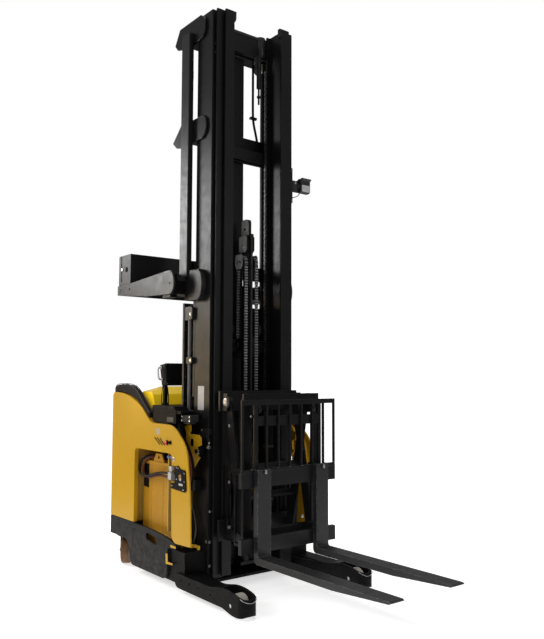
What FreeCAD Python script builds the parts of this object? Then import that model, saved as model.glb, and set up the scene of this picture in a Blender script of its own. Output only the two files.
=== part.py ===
import FreeCAD, Part
import os, math
from FreeCAD import Vector as V

os.makedirs("parts", exist_ok=True)

# ---------------------------------------------------------------------------
# Stand-up reach truck, three-stage mast, pantograph reach carriage.
# Millimetres.  X points forward (towards the fork tips), Y to the truck's
# left, Z up.  While building, X = 0 is the front face of the outer mast
# rails; every part is moved by SHIFT_X at the end so that the origin is the
# middle of the truck's footprint box, on the floor.
# ---------------------------------------------------------------------------
BODY_HALF = 522.0          # half width over the side panels
BODY_REAR = -1048.0        # rear face of the body
GUARD_REAR = -1094.0       # rear edge of the overhead guard
GUARD_HALF = 480.0
MAST_TOP = 3864.0          # height with the mast lowered
RAIL_HALF = 345.0          # half width over the outer mast rails
RAIL_DEPTH = 185.0         # outer rail section, front to back
STAGE = 30.0               # each nested stage stands this much further forward
FLANGE = 16.0
LEG_IN, LEG_OUT = 407.0, 522.0
LEG_TIP = 640.0
LOAD_WHEEL_R, LOAD_WHEEL_W = 60.0, 78.0
LOAD_AXLE_X, LOAD_AXLE_Z = 510.0, 60.0
CASTER_R, CASTER_W, CASTER_TRAIL = 95.0, 60.0, 30.0
CASTER_X, CASTER_Y = -969.0, -420.0
CASTER_DIR = (0.79, -0.613)          # where the caster wheel trails at rest
DRIVE_R, DRIVE_W = 150.0, 110.0
DRIVE_X, DRIVE_Y = -880.0, 270.0
BATT = (-688.0, -270.0, -450.0, 450.0, 80.0, 775.0)
PANEL_T = 30.0
PANEL_SKIN = 10.0
ARM_LEN = 840.0            # reach arm, pivot to roller
ARM_REST = 10.0            # arm lean with the reach drawn in, degrees
PIVOT_X, PIVOT_Z = 135.0, 1200.0
FRAME_X = PIVOT_X + ARM_LEN * math.sin(math.radians(ARM_REST))
FORK_LEN = 1067.0
FORK_FACE = 455.0
FORK_Z0, FORK_T, FORK_W = 240.0, 40.0, 100.0
FORK_Y = 235.0
TILT_X, TILT_Z = 372.0, 1160.0
TILLER_X, TILLER_Y = -870.0, 255.0
SHIFT_X = -(GUARD_REAR + FORK_FACE + FORK_LEN) / 2.0


def box(x0, x1, y0, y1, z0, z1):
    return Part.makeBox(x1 - x0, y1 - y0, z1 - z0, V(x0, y0, z0))


def cyl(x, y, z, r, h, d=(0, 0, 1)):
    return Part.makeCylinder(r, h, V(x, y, z), V(*d))


def ycyl(x, z, r, y0, y1):
    return Part.makeCylinder(r, y1 - y0, V(x, y0, z), V(0, 1, 0))


def prism(pts, y0, y1):
    """Plate with an outline in XZ, from y0 to y1."""
    w = Part.makePolygon([V(x, y0, z) for x, z in pts] + [V(pts[0][0], y0, pts[0][1])])
    return Part.Face(w).extrude(V(0, y1 - y0, 0))


def plan(pts, z0, z1):
    """Plate with an outline in XY, from z0 to z1."""
    w = Part.makePolygon([V(x, y, z0) for x, y in pts] + [V(pts[0][0], pts[0][1], z0)])
    return Part.Face(w).extrude(V(0, 0, z1 - z0))


def curved(parts_, y0, y1):
    """Plate in XZ whose outline mixes straight runs and smooth curves.
    parts_ is a list of ('L', pts) or ('S', pts) runs, end to end."""
    edges = []
    for kind, pts in parts_:
        p = [V(x, y0, z) for x, z in pts]
        if kind == 'S':
            c = Part.BSplineCurve()
            c.interpolate(p)
            edges.append(c.toShape())
        else:
            for a, b in zip(p[:-1], p[1:]):
                edges.append(Part.LineSegment(a, b).toShape())
    w = Part.Wire(Part.__sortEdges__(edges))
    return Part.Face(w).extrude(V(0, y1 - y0, 0))


def slot_y(x0, z0, x1, z1, r, y0, y1):
    """Round-ended slot body along Y between two centres in XZ."""
    a, b = V(x0, y0, z0), V(x1, y0, z1)
    d = (b - a).normalize()
    n = V(-d.z, 0, d.x) * r
    poly = Part.makePolygon([a + n, b + n, b - n, a - n, a + n])
    s = Part.Face(poly).extrude(V(0, y1 - y0, 0))
    return fuse([s, ycyl(x0, z0, r, y0, y1), ycyl(x1, z1, r, y0, y1)])


def fuse(items):
    s = items[0]
    if len(items) > 1:
        s = s.fuse(items[1:])
    return s.removeSplitter()


def cut(a, items):
    return a.cut(items if isinstance(items, list) else [items]).removeSplitter()


def my(s):
    """Mirror in the truck's middle plane."""
    return s.mirror(V(0, 0, 0), V(0, 1, 0))


def both(s):
    return [s, my(s)]


def rnd(s, r, pick):
    es = [e for e in s.Edges if pick(e)]
    return s.makeFillet(r, es) if es else s


def turned(s, x, y, z, axis, deg):
    s = s.copy()
    s.rotate(V(x, y, z), V(*axis), deg)
    return s


def cord(pts, r, name):
    """Round cable of radius r: straight runs joined by tangent arcs."""
    p = [V(*q) for q in pts]
    at, edges, radii = p[0], [], []
    for i in range(1, len(p) - 1):
        a, b = p[i] - p[i - 1], p[i + 1] - p[i]
        la, lb = a.Length, b.Length
        turn = a.getAngle(b)
        cutb = 0.45 * min(la, lb)
        radii.append(cutb / math.tan(turn / 2.0))
        a.normalize()
        b.normalize()
        s0, s1 = p[i] - a * cutb, p[i] + b * cutb
        bis = (b - a).normalize()
        c = p[i] + bis * (radii[-1] / math.cos(turn / 2.0))
        mid = c - bis * radii[-1]
        edges += [Part.LineSegment(at, s0).toShape(), Part.Arc(s0, mid, s1).toShape()]
        at = s1
    edges.append(Part.LineSegment(at, p[-1]).toShape())
    path = Part.Wire(edges)
    ring = Part.Wire([Part.Circle(p[0], p[1] - p[0], r).toShape()])
    s = path.makePipeShell([ring], True, False)
    s = s if s.ShapeType == "Solid" else Part.Solid(s)
    print("%-24s length %.0f mm, arcs %s mm, volume ratio %.4f" % (
        name, path.Length, " ".join("%.0f" % k for k in radii), s.Volume / (math.pi * r * r * path.Length)))
    return s


NODES = []


def save(name, *solids):
    sol = []
    for s in solids:
        for k in (s if isinstance(s, list) else [s]):
            sol.extend(k.Solids)
    out = sol[0] if len(sol) == 1 else Part.makeCompound(sol)
    out = out.copy()
    out.translate(V(SHIFT_X, 0, 0))
    assert out.isValid(), name
    assert all(k.Volume > 0 for k in out.Solids), name
    out.exportStep("parts/%s.step" % name)
    b = out.BoundBox
    NODES.append(name)
    print("%-24s %2d solids  vol %.5f m3  x %.0f..%.0f y %.0f..%.0f z %.0f..%.0f" % (
        name, len(sol), out.Volume / 1e9, b.XMin, b.XMax, b.YMin, b.YMax, b.ZMin, b.ZMax))


# ---------------------------------------------------------------------------
# chassis
# ---------------------------------------------------------------------------
tray = [
    box(-700, -187, -500, 500, 45, 70),                      # battery tray floor
    box(-187, -60, -500, -348, 45, 70), box(-187, -60, 348, 500, 45, 70),
    box(-262, -187, -348, 348, 70, 300),                     # cross box the mast stands against
    box(-205, -20, -505, -348, 55, 250), box(-205, -20, 348, 505, 55, 250),
    box(-712, -700, -490, 490, 45, 345),                     # rear bulkhead, lower part
]
# mast shoes and gussets out to the legs
tray += [box(-187, 20, -348, 348, 45, 62)]
# caster and drive mounting decks behind the bulkhead
caster_deck = cut(box(-1036, -712, -490, 20, 224, 240), cyl(CASTER_X, CASTER_Y, 220, 15.4, 24))
drive_deck = cut(box(-1036, -712, 50, 490, 330, 345), cyl(DRIVE_X, DRIVE_Y, 320, 137, 40))
rear_deck = fuse([caster_deck, drive_deck, box(-1036, -712, 20, 50, 224, 345)])
save("rear_deck", rear_deck)

comp = cut(box(-712, -256, -492, 492, 345, 885),
           [box(-700, -268, -500, 500, 300, 865)])
save("battery_compartment", comp)

bx0, bx1, by0, by1, bz0, bz1 = BATT
save("battery", box(bx0 + 4, bx1 - 6, by0, by1, 76, bz1))
lugs = []
for sy in (-1, 1):
    for cx in (-470,):
        l = prism([(cx - 74, bz1), (cx + 74, bz1), (cx + 40, bz1 + 56), (cx - 40, bz1 + 56)],
                  sy * 444 - 5, sy * 444 + 5)
        lugs.append(cut(l, ycyl(cx, bz1 + 30, 12, sy * 444 - 8, sy * 444 + 8)))
save("battery_lugs", lugs)

# base legs: outline in XZ, pocket for the load wheel
leg = curved([
    ('S', [(-60, 30), (-96, 42), (-112, 80)]),
    ('L', [(-112, 80), (-112, 105)]),
    ('S', [(-112, 105), (-106, 114), (-92, 117)]),
    ('L', [(-92, 117), (250, 118)]),
    ('S', [(250, 118), (340, 126), (420, 141), (470, 143), (530, 138), (590, 124), (628, 108)]),
    ('S', [(628, 108), (637, 98), (LEG_TIP, 84)]),
    ('L', [(LEG_TIP, 84), (LEG_TIP, 40)]),
    ('S', [(LEG_TIP, 40), (632, 22), (600, 12), (540, 10), (490, 17), (440, 28), (400, 30)]),
    ('L', [(400, 30), (-60, 30)]),
], -LEG_OUT, -LEG_IN)
nose = box(-200, LEG_TIP, -LEG_OUT, -LEG_IN, 0, 200)
nose = rnd(nose, 54, lambda e: e.BoundBox.ZLength > 100 and e.BoundBox.XMin > LEG_TIP - 1)
leg = leg.common(nose)
pocket = box(408, 622, -LEG_OUT + 11, -LEG_IN - 11, 0, 200)
pocket = rnd(pocket, 42, lambda e: e.BoundBox.ZLength > 100 and e.BoundBox.XMin > 600)
pocket = rnd(pocket, 18, lambda e: e.BoundBox.ZLength > 100 and e.BoundBox.XMax < 450)
leg = cut(leg, [pocket, ycyl(LOAD_AXLE_X, LOAD_AXLE_Z, 12.0, -LEG_OUT - 5, -LEG_IN + 5),
                ycyl(169, 81, 8, -LEG_OUT - 5, -LEG_OUT + 12), ycyl(302, 76, 8, -LEG_OUT - 5, -LEG_OUT + 12)])
# gusset that ties the leg to the mast foot
gus = plan([(-100, -LEG_IN), (210, -LEG_IN), (150, -385), (20, -349), (-100, -349)], 45, 112)
leg = fuse([leg, gus])
save("base_legs", both(leg))
save("base_frame", cut(fuse(tray), both(leg)))
axle = fuse([ycyl(LOAD_AXLE_X, LOAD_AXLE_Z, 11.8, -LEG_OUT + 2, -LEG_IN - 2)])
save("load_wheel_axles", both(axle))

# ---------------------------------------------------------------------------
# body panels
# ---------------------------------------------------------------------------
TOP = [(BODY_REAR, 1215), (-1036, 1238), (-992, 1246), (-898, 1241), (-794, 1224), (-694, 1193),
       (-606, 1153), (-538, 1107), (-482, 1066), (-444, 1050), (-400, 1046)]
FRONT = [(-205, 1046), (-168, 1040), (-114, 1016), (-52, 970), (-6, 926), (16, 885), (28, 834), (36, 779),
         (45, 725), (55, 660), (61, 595), (66, 520)]
panel = curved([
    ('L', [(BODY_REAR, 345), (BODY_REAR, 1215)]),
    ('S', TOP),
    ('L', [TOP[-1], FRONT[0]]),
    ('S', FRONT),
    ('L', [FRONT[-1], (73, 305), (-106, 298)]),
    ('S', [(-106, 298), (-130, 306), (-158, 335)]),
    ('L', [(-158, 335), (-168, 560), (-168, 830)]),
    ('S', [(-168, 830), (-176, 852), (-196, 860)]),
    ('L', [(-196, 860), (-650, 860)]),
    ('S', [(-650, 860), (-676, 850), (-686, 825)]),
    ('L', [(-686, 825), (-686, 345), (BODY_REAR, 345)]),
], -BODY_HALF, -BODY_HALF + PANEL_T)
# the front part is only the sheet; the fold behind it stops short of the edge
FOLD = [(-260, 1052), (-260, 1012), (-220, 1008), (-186, 1000), (-140, 978), (-76, 932), (-40, 900), (-24, 870), (-11, 826),
        (0, 768), (12, 692), (24, 618), (32, 540), (36, 400), (38, 290), (90, 290), (90, 1052)]
panel = cut(panel, prism(FOLD, -BODY_HALF + PANEL_SKIN, -BODY_HALF + PANEL_T + 5))
panel_r = cut(panel, box(-172, -116, -BODY_HALF - 5, -BODY_HALF + PANEL_T + 5, 686, 786))
save("side_panels", panel_r, my(panel))

gate = curved([
    ('L', [(-697, 60), (-697, 340), (-650, 337)]),
    ('S', [(-650, 337), (-533, 336), (-389, 330), (-238, 316), (-150, 301), (-106, 288)]),
    ('L', [(-106, 288), (-110, 262), (-205, 252), (-215, 144)]),
    ('S', [(-215, 144), (-222, 80), (-262, 48)]),
    ('L', [(-262, 48), (-690, 48), (-697, 60)]),
], -BODY_HALF, -BODY_HALF + 18)
gate = cut(gate, slot_y(-478, 281, -374, 266, 24, -BODY_HALF - 5, -BODY_HALF + 30))
save("battery_gates", both(gate))

side = curved([
    ('L', [(-700, 50), (-700, 341), (BODY_REAR, 341), (BODY_REAR, 213), (-940, 213)]),
    ('S', [(-940, 213), (-892, 208), (-827, 212), (-781, 200), (-752, 150), (-738, 95), (-716, 60), (-700, 50)]),
], -BODY_HALF, -BODY_HALF + 25)
skirt = fuse([side, my(side), box(BODY_REAR, BODY_REAR + 12, -BODY_HALF, BODY_HALF, 213, 341)])
save("rear_skirt", skirt)

floor = box(-1036, -712, -490, 20, 246, 262)
save("operator_floor", floor)

# padded backrest along the top of the right panel
pad = curved([
    ('L', [(BODY_REAR + 6, 1232), (BODY_REAR + 6, 1262)]),
    ('S', [(BODY_REAR + 6, 1262), (-1020, 1298), (-960, 1311), (-901, 1313), (-818, 1309), (-748, 1297), (-695, 1272),
           (-635, 1227), (-566, 1171), (-520, 1137), (-490, 1116)]),
    ('L', [(-490, 1116), (-490, 1066)]),
    ('S', [(-490, 1066), (-530, 1092), (-590, 1128), (-680, 1180), (-790, 1212), (-898, 1229), (-990, 1233), (BODY_REAR + 6, 1210)]),
    ('L', [(BODY_REAR + 6, 1210), (BODY_REAR + 6, 1232)]),
], -BODY_HALF + 6, -BODY_HALF + 58)
pad = cut(pad, panel)
save("side_pad", pad)

# hood over the drive unit, left rear, hollow and open below
hood = box(-1036, -714, 22, 490, 346, 1245)
hood = rnd(hood, 45, lambda e: e.BoundBox.ZMin > 1240 and (e.BoundBox.YLength > 100 or e.BoundBox.XLength > 100)
           or (e.BoundBox.ZLength > 100 and abs(e.BoundBox.XMin + 1036) < 1))
hin = box(-1026, -724, 32, 480, 300, 1235)
hin = rnd(hin, 35, lambda e: e.BoundBox.ZMin > 1230 and (e.BoundBox.YLength > 100 or e.BoundBox.XLength > 100)
          or (e.BoundBox.ZLength > 100 and abs(e.BoundBox.XMin + 1026) < 1))
save("drive_hood", cut(hood, hin))

# cowl across the truck above the battery, hollow
COWL_Y = -458
cowl = prism([(-600, 886), (-500, 886), (-500, 1120), (-552, 1236), (-604, 1288), (-656, 1292), (-708, 1248), (-708, 1130)],
             COWL_Y, 488)
slope = Part.Face(Part.makePolygon([V(-720, COWL_Y - 2, 1254), V(-720, -330, 1293), V(-720, -330, 1310),
                                    V(-720, COWL_Y - 2, 1310), V(-720, COWL_Y - 2, 1254)])).extrude(V(240, 0, 0))
cowl = rnd(cowl, 24, lambda e: e.BoundBox.YLength > 500 and e.BoundBox.ZMin > 1100)
cin = prism([(-588, 880), (-511, 880), (-511, 1117), (-568, 1220), (-614, 1240), (-655, 1240), (-696, 1214), (-696, 1136)],
            COWL_Y + 12, 477)
save("front_cowl", cut(cowl, [cin, slope]))

# black console between cowl and mast
cons = prism([(-496, 886), (-268, 886), (-268, 1150), (-300, 1166), (-496, 1166)], -490, 490)
pods = prism([(-466, 1052), (-160, 1052), (-160, 1140), (-190, 1164), (-466, 1164)], -500, -400)
cons = cut(fuse([cons, pods, my(pods)]), [pad, panel, my(panel)])
save("console", cons)

term = prism([(-508, 1442), (-428, 1455), (-404, 1303), (-474, 1298)], -434, -222)
term = rnd(term, 10, lambda e: e.BoundBox.YLength < 1)
post = fuse([box(-470, -446, -424, -400, 1166, 1310)])
save("display_terminal", fuse([term, post]))

# battery leads: from the terminal block on the battery, back and down in a
# loop in the side window, then forward to the connector
CABLE_R = 8.5
BLACK_LEAD = [(-567, -403, 806.2), (-589, -434, 811), (-613, -465, 805), (-641, -484, 784), (-661, -490, 746),
              (-666, -491, 703), (-640, -492, 656), (-586, -492, 640), (-526, -492, 655), (-466, -493, 680), (-405, -496, 702),
              (-345, -501, 717), (-290, -508, 725), (-240, -514, 728), (-198, -517, 729)]
RED_LEAD = [(-532, -403, 800.5), (-554, -431, 804), (-580, -456, 800), (-609, -469, 783), (-634, -471, 752),
            (-641, -470, 711), (-628, -470, 664), (-588, -471, 638), (-532, -472, 640), (-475, -474, 658), (-415, -478, 677),
            (-355, -487, 690), (-302, -499, 698), (-250, -511, 703), (-198, -517, 705)]
save("battery_cable_black", cord(BLACK_LEAD, CABLE_R, "battery_cable_black"))
save("battery_cable_red", cord(RED_LEAD, CABLE_R, "battery_cable_red"))
plug = [fuse([rnd(box(-198, -117, -534, -500, 692, 742), 5, lambda e: True), box(-124, -104, -533, -523, 700, 734)]),
        rnd(box(-190, -152, -530, -504, 744, 782), 5, lambda e: True),
        box(-584, -508, -380, -330, 775, 826)]
for q in (BLACK_LEAD, RED_LEAD):
    a, b = V(*q[0]), V(*q[1])
    d = (b - a).normalize()
    g = Part.makeCylinder(12, 40, a - d * 40, d)
    plug[2] = plug[2].fuse(g).removeSplitter()
bracket = prism([(-116, 778), (-73, 792), (-53, 774), (11, 771), (24, 650), (8, 633), (-163, 641), (-165, 676), (-116, 677)],
                -BODY_HALF - 7, -BODY_HALF)
socket = fuse([plug[0], plug[1], box(-190, -152, -526, -508, 740, 746), bracket])
save("battery_connector", socket, plug[2])

# stop button and key switch on each side panel
btn = []
for s in (-1, 1):
    a, b = (s * BODY_HALF, s * (BODY_HALF + 6)), (s * (BODY_HALF + 6), s * (BODY_HALF + 16))
    btn.append(fuse([ycyl(-229, 928, 17, min(a), max(a)), ycyl(-229, 928, 14, min(b), max(b))]))
    btn.append(fuse([ycyl(-184, 932, 13, min(a), max(a)), box(-188, -180, min(b), max(b), 922, 942)]))
save("panel_buttons", btn)

# hoses from the console down to the chassis, beside the yellow ties
HOSE_R = 9.0
BLACK_HOSE = [(-200, -427, 1052), (-195, -427, 1006), (-166, -428, 958), (-126, -429, 912), (-90, -430, 862), (-65, -430, 804),
              (-57, -430, 742), (-72, -430, 682), (-98, -430, 626), (-121, -429, 566), (-132, -428, 504), (-130, -427, 444),
              (-124, -426, 384), (-120, -425, 316), (-122, -425, 250)]
RED_HOSE = [(-190, -452, 1052), (-186, -452, 1006), (-162, -453, 958), (-116, -455, 913), (-77, -456, 864), (-49, -457, 810),
            (-38, -457, 748), (-50, -456, 688), (-78, -456, 632), (-108, -454, 576), (-134, -450, 518), (-146, -448, 456),
            (-147, -447, 392), (-145, -446, 320), (-148, -446, 250)]
save("body_hose_black", cord(BLACK_HOSE, HOSE_R, "body_hose_black"))
save("body_hose_red", cord(RED_HOSE, HOSE_R, "body_hose_red"))
SIDE_CABLE = [(-164, -372, 620), (-163, -373, 570), (-147, -373, 508), (-118, -374, 458), (-100, -374, 404), (-99, -374, 348),
              (-117, -374, 298), (-138, -372, 250)]
save("side_cable", cord(SIDE_CABLE, 4.5, "side_cable"))

# ---------------------------------------------------------------------------
# outer mast
# ---------------------------------------------------------------------------
def rail(x_front, depth, y_out, y_web, web, y_in, z0, z1):
    """Right-hand rail: two flanges joined by a web.  y values are distances
    from the middle plane, outer tip / web outer face / inner tip."""
    xf, xr = x_front, x_front - depth
    s = fuse([box(xf - FLANGE, xf, -y_out, -y_in, z0, z1),
              box(xr, xr + FLANGE, -y_out, -y_in, z0, z1),
              box(xr, xf, -y_web, -(y_web - web), z0, z1)])
    return s


rear = -RAIL_DEPTH
o_rail = rail(0, RAIL_DEPTH, RAIL_HALF, RAIL_HALF, 14, 300, 62, 3860)
save("outer_mast", both(o_rail))
CYL_X, CYL_Y, CYL_R, ROD_R = -224.0, 268.0, 32.0, 24.0
SHEAVE_X, SHEAVE_R = -60.0, 40.0     # chain sheaves on the free lift rod's head


def o_beam(x0, z0, z1, hole):
    b = box(x0, rear, -RAIL_HALF, RAIL_HALF, z0, z1)
    return cut(b, [cyl(CYL_X, CYL_Y, z0 - 5, hole, z1 - z0 + 10), cyl(CYL_X, -CYL_Y, z0 - 5, hole, z1 - z0 + 10)])


beams = [o_beam(-300, 3690, 3812, ROD_R + 6), o_beam(-275, 2985, 3090, CYL_R + 0.3),
         o_beam(-275, 2062, 2149, CYL_R + 0.3), o_beam(-264, 1120, 1230, CYL_R + 0.3),
         o_beam(-255.8, 320, 460, CYL_R + 0.3)]
save("mast_crossbeams", beams)

# lift cylinders behind the rails: barrels with a bore for the rods
barrel = cut(cyl(CYL_X, -CYL_Y, 302, CYL_R, 3330), cyl(CYL_X, -CYL_Y, 322, ROD_R + 1.0, 3400))
save("lift_cylinders", both(barrel))

# plates bolted to the rails that hold the stays
top_br = prism([(-408, 3864), (-133, 3864), (-85, 3838), (-68, 3800), (-70, 3740), (-95, 3700), (-155, 3688),
                (-264, 3714), (-376, 3704), (-440, 3722), (-474, 3762)], -361, -345)
mid_br = prism([(-375, 3144), (-183, 3140), (-90, 3140), (-50, 3110), (-42, 3060), (-55, 3010), (-100, 2980),
                (-381, 2982), (-440, 2996), (-489, 3038)], -361, -345)
low_br = fuse([prism([(-208, 2082), (-90, 2082), (-48, 2050), (-34, 1975), (-48, 1902), (-95, 1870), (-208, 1877)], -387, -345),
               prism([(-300, 2082), (-208, 2082), (-208, 1877), (-300, 1884)], -361, -345)])
tie_block = box(-185, -85, -393, -345, 620, 690)
save("mast_brackets", both(top_br) + both(mid_br) + both(low_br) + both(tie_block))
stay = box(-313, -210, -400, -361, 2046, 3760)
stay = rnd(stay, 6, lambda e: e.BoundBox.ZLength > 1000)
save("mast_stays", both(stay))

# ---------------------------------------------------------------------------
# overhead guard
# ---------------------------------------------------------------------------
arm = curved([
    ('L', [(GUARD_REAR, 1980), (GUARD_REAR, 2052), (-890, 2054), (-600, 2072), (-330, 2088)]),
    ('S', [(-330, 2088), (-272, 2066), (-246, 2010), (-258, 1952), (-300, 1922)]),
    ('L', [(-300, 1922), (-640, 1935), (GUARD_REAR, 1980)]),
], -GUARD_HALF, -GUARD_HALF + 14)
arm = cut(arm, ycyl(-292, 1995, 7, -GUARD_HALF - 5, -GUARD_HALF + 20))
save("guard_arms", both(arm))
cross = box(-420, -315, -466, -410, 1905, 2070)
save("guard_crossbeam", fuse([box(-420, -300, -466, 466, 1928, 2022), cross, my(cross)]))
bars = [box(GUARD_REAR, GUARD_REAR + 14, -466, 466, 1980, 2052)]
for k in range(1, 9):                                # roof bars, upright flats across the guard
    x = -1080 + k * 78
    bars.append(box(x, x + 14, -466, 466, 1990, 2044))
save("guard_bars", bars)
save("guard_header", cut(box(-1081, -889, -478, 478, 2054, 2279), box(-1069, -901, -466, 466, 2040, 2300)))

# upright frame between operator and mast
fx0, fx1 = -302, -280
scr = cut(box(fx0, fx1, -372, 372, 1166, 1865), box(fx0 - 5, fx1 + 5, -340, 340, 1206, 1825))
clips = []
for z0, z1 in ((1770, 1830), (1448, 1492)):
    clips += both(box(fx1 - 1, rear, -345, -330, z0, z1))
save("mast_screen", fuse([scr] + clips))
save("screen_pane", box(fx0 + 9, fx0 + 13, -340, 340, 1206, 1825))

# sheet steel guard over the mast's near half, between the operator and the hoses
save("hose_guard", box(rear, rear + 1.5, -292, 48, 470, 3680))

# yellow plates that tie the chassis to the mast, with an oval opening
tie = curved([
    ('L', [(-185, 560), (-185, 960)]),
    ('S', [(-185, 960), (-176, 980), (-150, 986)]),
    ('L', [(-150, 986), (-36, 984), (-10, 970), (-6, 920), (-44, 908), (-43, 846), (-19, 842), (-63, 796), (-107, 747),
           (-129, 700), (-142, 640), (-152, 560), (-185, 560)]),
], -405, -393)
ear = prism([(-184, 950), (-188, 1000), (-212, 1024), (-203, 1040), (-140, 1046), (-130, 1010), (-146, 984), (-150, 950)], -405, -393)
tie = cut(fuse([tie, ear]), [slot_y(-104, 926, -104, 938, 20, -410, -388), ycyl(-172, 1022, 7, -410, -388)])
save("mast_ties", both(tie))

lamp_br = fuse([box(-20, 0, 345, 352, 2620, 2880), box(-14, -6, 345, 400, 2735, 2790),
                box(-20, 20, 388, 400, 2722, 2800)])
lamp = fuse([Part.makeCone(34, 52, 60, V(-15, 455, 2762), V(1, 0, 0)), cyl(-30, 455, 2762, 34, 20, (1, 0, 0)),
             box(-24, 6, 396, 440, 2748, 2776)])
save("work_light", fuse([lamp_br, lamp]))

# ---------------------------------------------------------------------------
# middle and inner mast
# ---------------------------------------------------------------------------
m_rail = rail(STAGE, RAIL_DEPTH, 325, 293, 12, 250, 75, MAST_TOP - 1)
save("middle_mast", both(m_rail))
mid = []
for z0, z1 in ((2895, 2985), (1500, 1580), (90, 220)):
    mid.append(box(-178, -155, -293, 293, z0, z1))
mid.append(fuse([box(-178, -155, -293, 293, 3700, 3838)] + both(box(-256, -170, -292, -236, 3822, 3838))))
save("middle_crossbeams", mid)
rod = cyl(CYL_X, -CYL_Y, 340, ROD_R, 3482)
save("lift_rods", both(rod))

i_rail = rail(2 * STAGE, RAIL_DEPTH, 275, 243, 12, 205, 90, MAST_TOP - 1)
save("inner_mast", both(i_rail))
inn = []
for z0, z1 in ((3690, 3830), (2905, 2985), (1540, 1620)):
    inn.append(box(-148, -125, -243, 243, z0, z1))
FL_X = -73.0
inn.append(fuse([box(-148, -125, -243, 243, 105, 230), box(-148, FL_X + 40, -60, 60, 105, 125)]))
# the lift chains are anchored on the second crossbeam, one bracket each side
inn[2] = fuse([inn[2]] + both(box(-126, SHEAVE_X - 38, 33, 57, 1570, 1600)))
save("inner_crossbeams", inn)
fl_bar = cut(cyl(FL_X, 0, 125, 34, 1865), cyl(FL_X, 0, 145, 24.0, 2000))
save("free_lift_cylinder", fl_bar)
# crosshead on the rod: a block between two chain sheaves, with cheeks and a
# narrower two-plate column above
head = [cyl(FL_X, 0, 260, 23.0, 1890), box(-103, -43, -32, 32, 2112, 2200)]
cheek = prism([(-118, 2132), (-102, 2104), (-44, 2104), (-26, 2132), (-26, 2196), (-40, 2210), (-104, 2210), (-118, 2196)], 58, 64)
colu = prism([(-118, 2240), (-100, 2223), (-42, 2223), (-24, 2240), (-24, 2331), (-34, 2343), (-108, 2343), (-118, 2331)], 24, 34)
top = prism([(-118, 2320), (-32, 2320), (-32, 2438), (-40, 2455), (-60, 2461), (-92, 2461), (-110, 2455), (-118, 2438)], -12, 12)
head += both(cheek) + both(colu) + [top, box(-96, -60, -25, 25, 2190, 2345), ycyl(SHEAVE_X, 2150, 11, -66, 66),
                                    box(-116, -96, -62, 62, 2182, 2200), box(-50, -30, -62, 62, 2184, 2200)]
for s in (-1, 1):
    head.append(ycyl(SHEAVE_X, 2150, SHEAVE_R, s * 45 - 12, s * 45 + 12))
save("free_lift_head", fuse(head))

# ---------------------------------------------------------------------------
# lift carriage
# ---------------------------------------------------------------------------
car = []
for sgn in (-1,):
    pl = prism([(-92, 340), (90, 320), (90, 1270), (-92, 1250)], -166, -150)
    car.append(pl)
    for z in (430, 1160):
        car.append(ycyl(-32.5, z, 69, -224, -174))
        car.append(ycyl(-32.5, z, 22, -176, -164))
    # roller guide for the lower end of the inner reach arm
    g = cut(box(95, 175, -262, -246, 320, 790), box(PIVOT_X - 31, PIVOT_X + 31, -270, -240, 338, 755))
    car.append(g)
    car.append(box(72, 97, -262, -246, 320, 790))
    # upper pivot lug for the outer arm, and its pin
    lug = fuse([box(72, 150, -308, -292, 1145, 1255), ycyl(PIVOT_X, PIVOT_Z, 40, -308, -292)])
    car.append(lug)
    car.append(ycyl(PIVOT_X, PIVOT_Z, 15, -300, -262))
car = car + [my(s) for s in car]
car += [box(72, 90, -320, 320, 1140, 1270), box(72, 90, -320, 320, 320, 450)]
car += both(box(SHEAVE_X + 38, 73, 33, 57, 396, 440))            # chain anchors
save("lift_carriage", fuse(car))

# ---------------------------------------------------------------------------
# reach arms (scissor), drawn in
# ---------------------------------------------------------------------------
def arm_bar(x0, z0, x1, z1, r, y0, y1, bores):
    s = slot_y(x0, z0, x1, z1, r, y0, y1)
    return cut(s, [ycyl(bx, bz, br, y0 - 2, y1 + 2) for bx, bz, br in bores]) if bores else s


sn, cs = math.sin(math.radians(ARM_REST)), math.cos(math.radians(ARM_REST))
LOW_Z = PIVOT_Z - ARM_LEN * cs
CX, CZ = PIVOT_X + ARM_LEN / 2 * sn, PIVOT_Z - ARM_LEN / 2 * cs
outer_arm = []
for sgn in (1,):
    a = arm_bar(PIVOT_X, PIVOT_Z, FRAME_X, LOW_Z, 32, -286, -268, [(PIVOT_X, PIVOT_Z, 15.3)])
    outer_arm += [a, ycyl(FRAME_X, LOW_Z, 28, -307, -284)]
outer_arm = outer_arm + [my(s) for s in outer_arm]
outer_arm.append(ycyl(CX, CZ, 20, -280, 280))
save("reach_arms_outer", fuse(outer_arm))
inner_arm = []
for sgn in (1,):
    a = arm_bar(FRAME_X, PIVOT_Z, PIVOT_X, LOW_Z, 32, -240, -222, [(FRAME_X, PIVOT_Z, 15.3), (CX, CZ, 20.5)])
    inner_arm += [a, ycyl(PIVOT_X, LOW_Z, 28, -261, -238)]
inner_arm = inner_arm + [my(s) for s in inner_arm]
t = 0.27
tx, tz = PIVOT_X + (FRAME_X - PIVOT_X) * t, LOW_Z + (PIVOT_Z - LOW_Z) * t
inner_arm.append(ycyl(tx, tz, 22, -230, 230))
save("reach_arms_inner", fuse(inner_arm))

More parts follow.
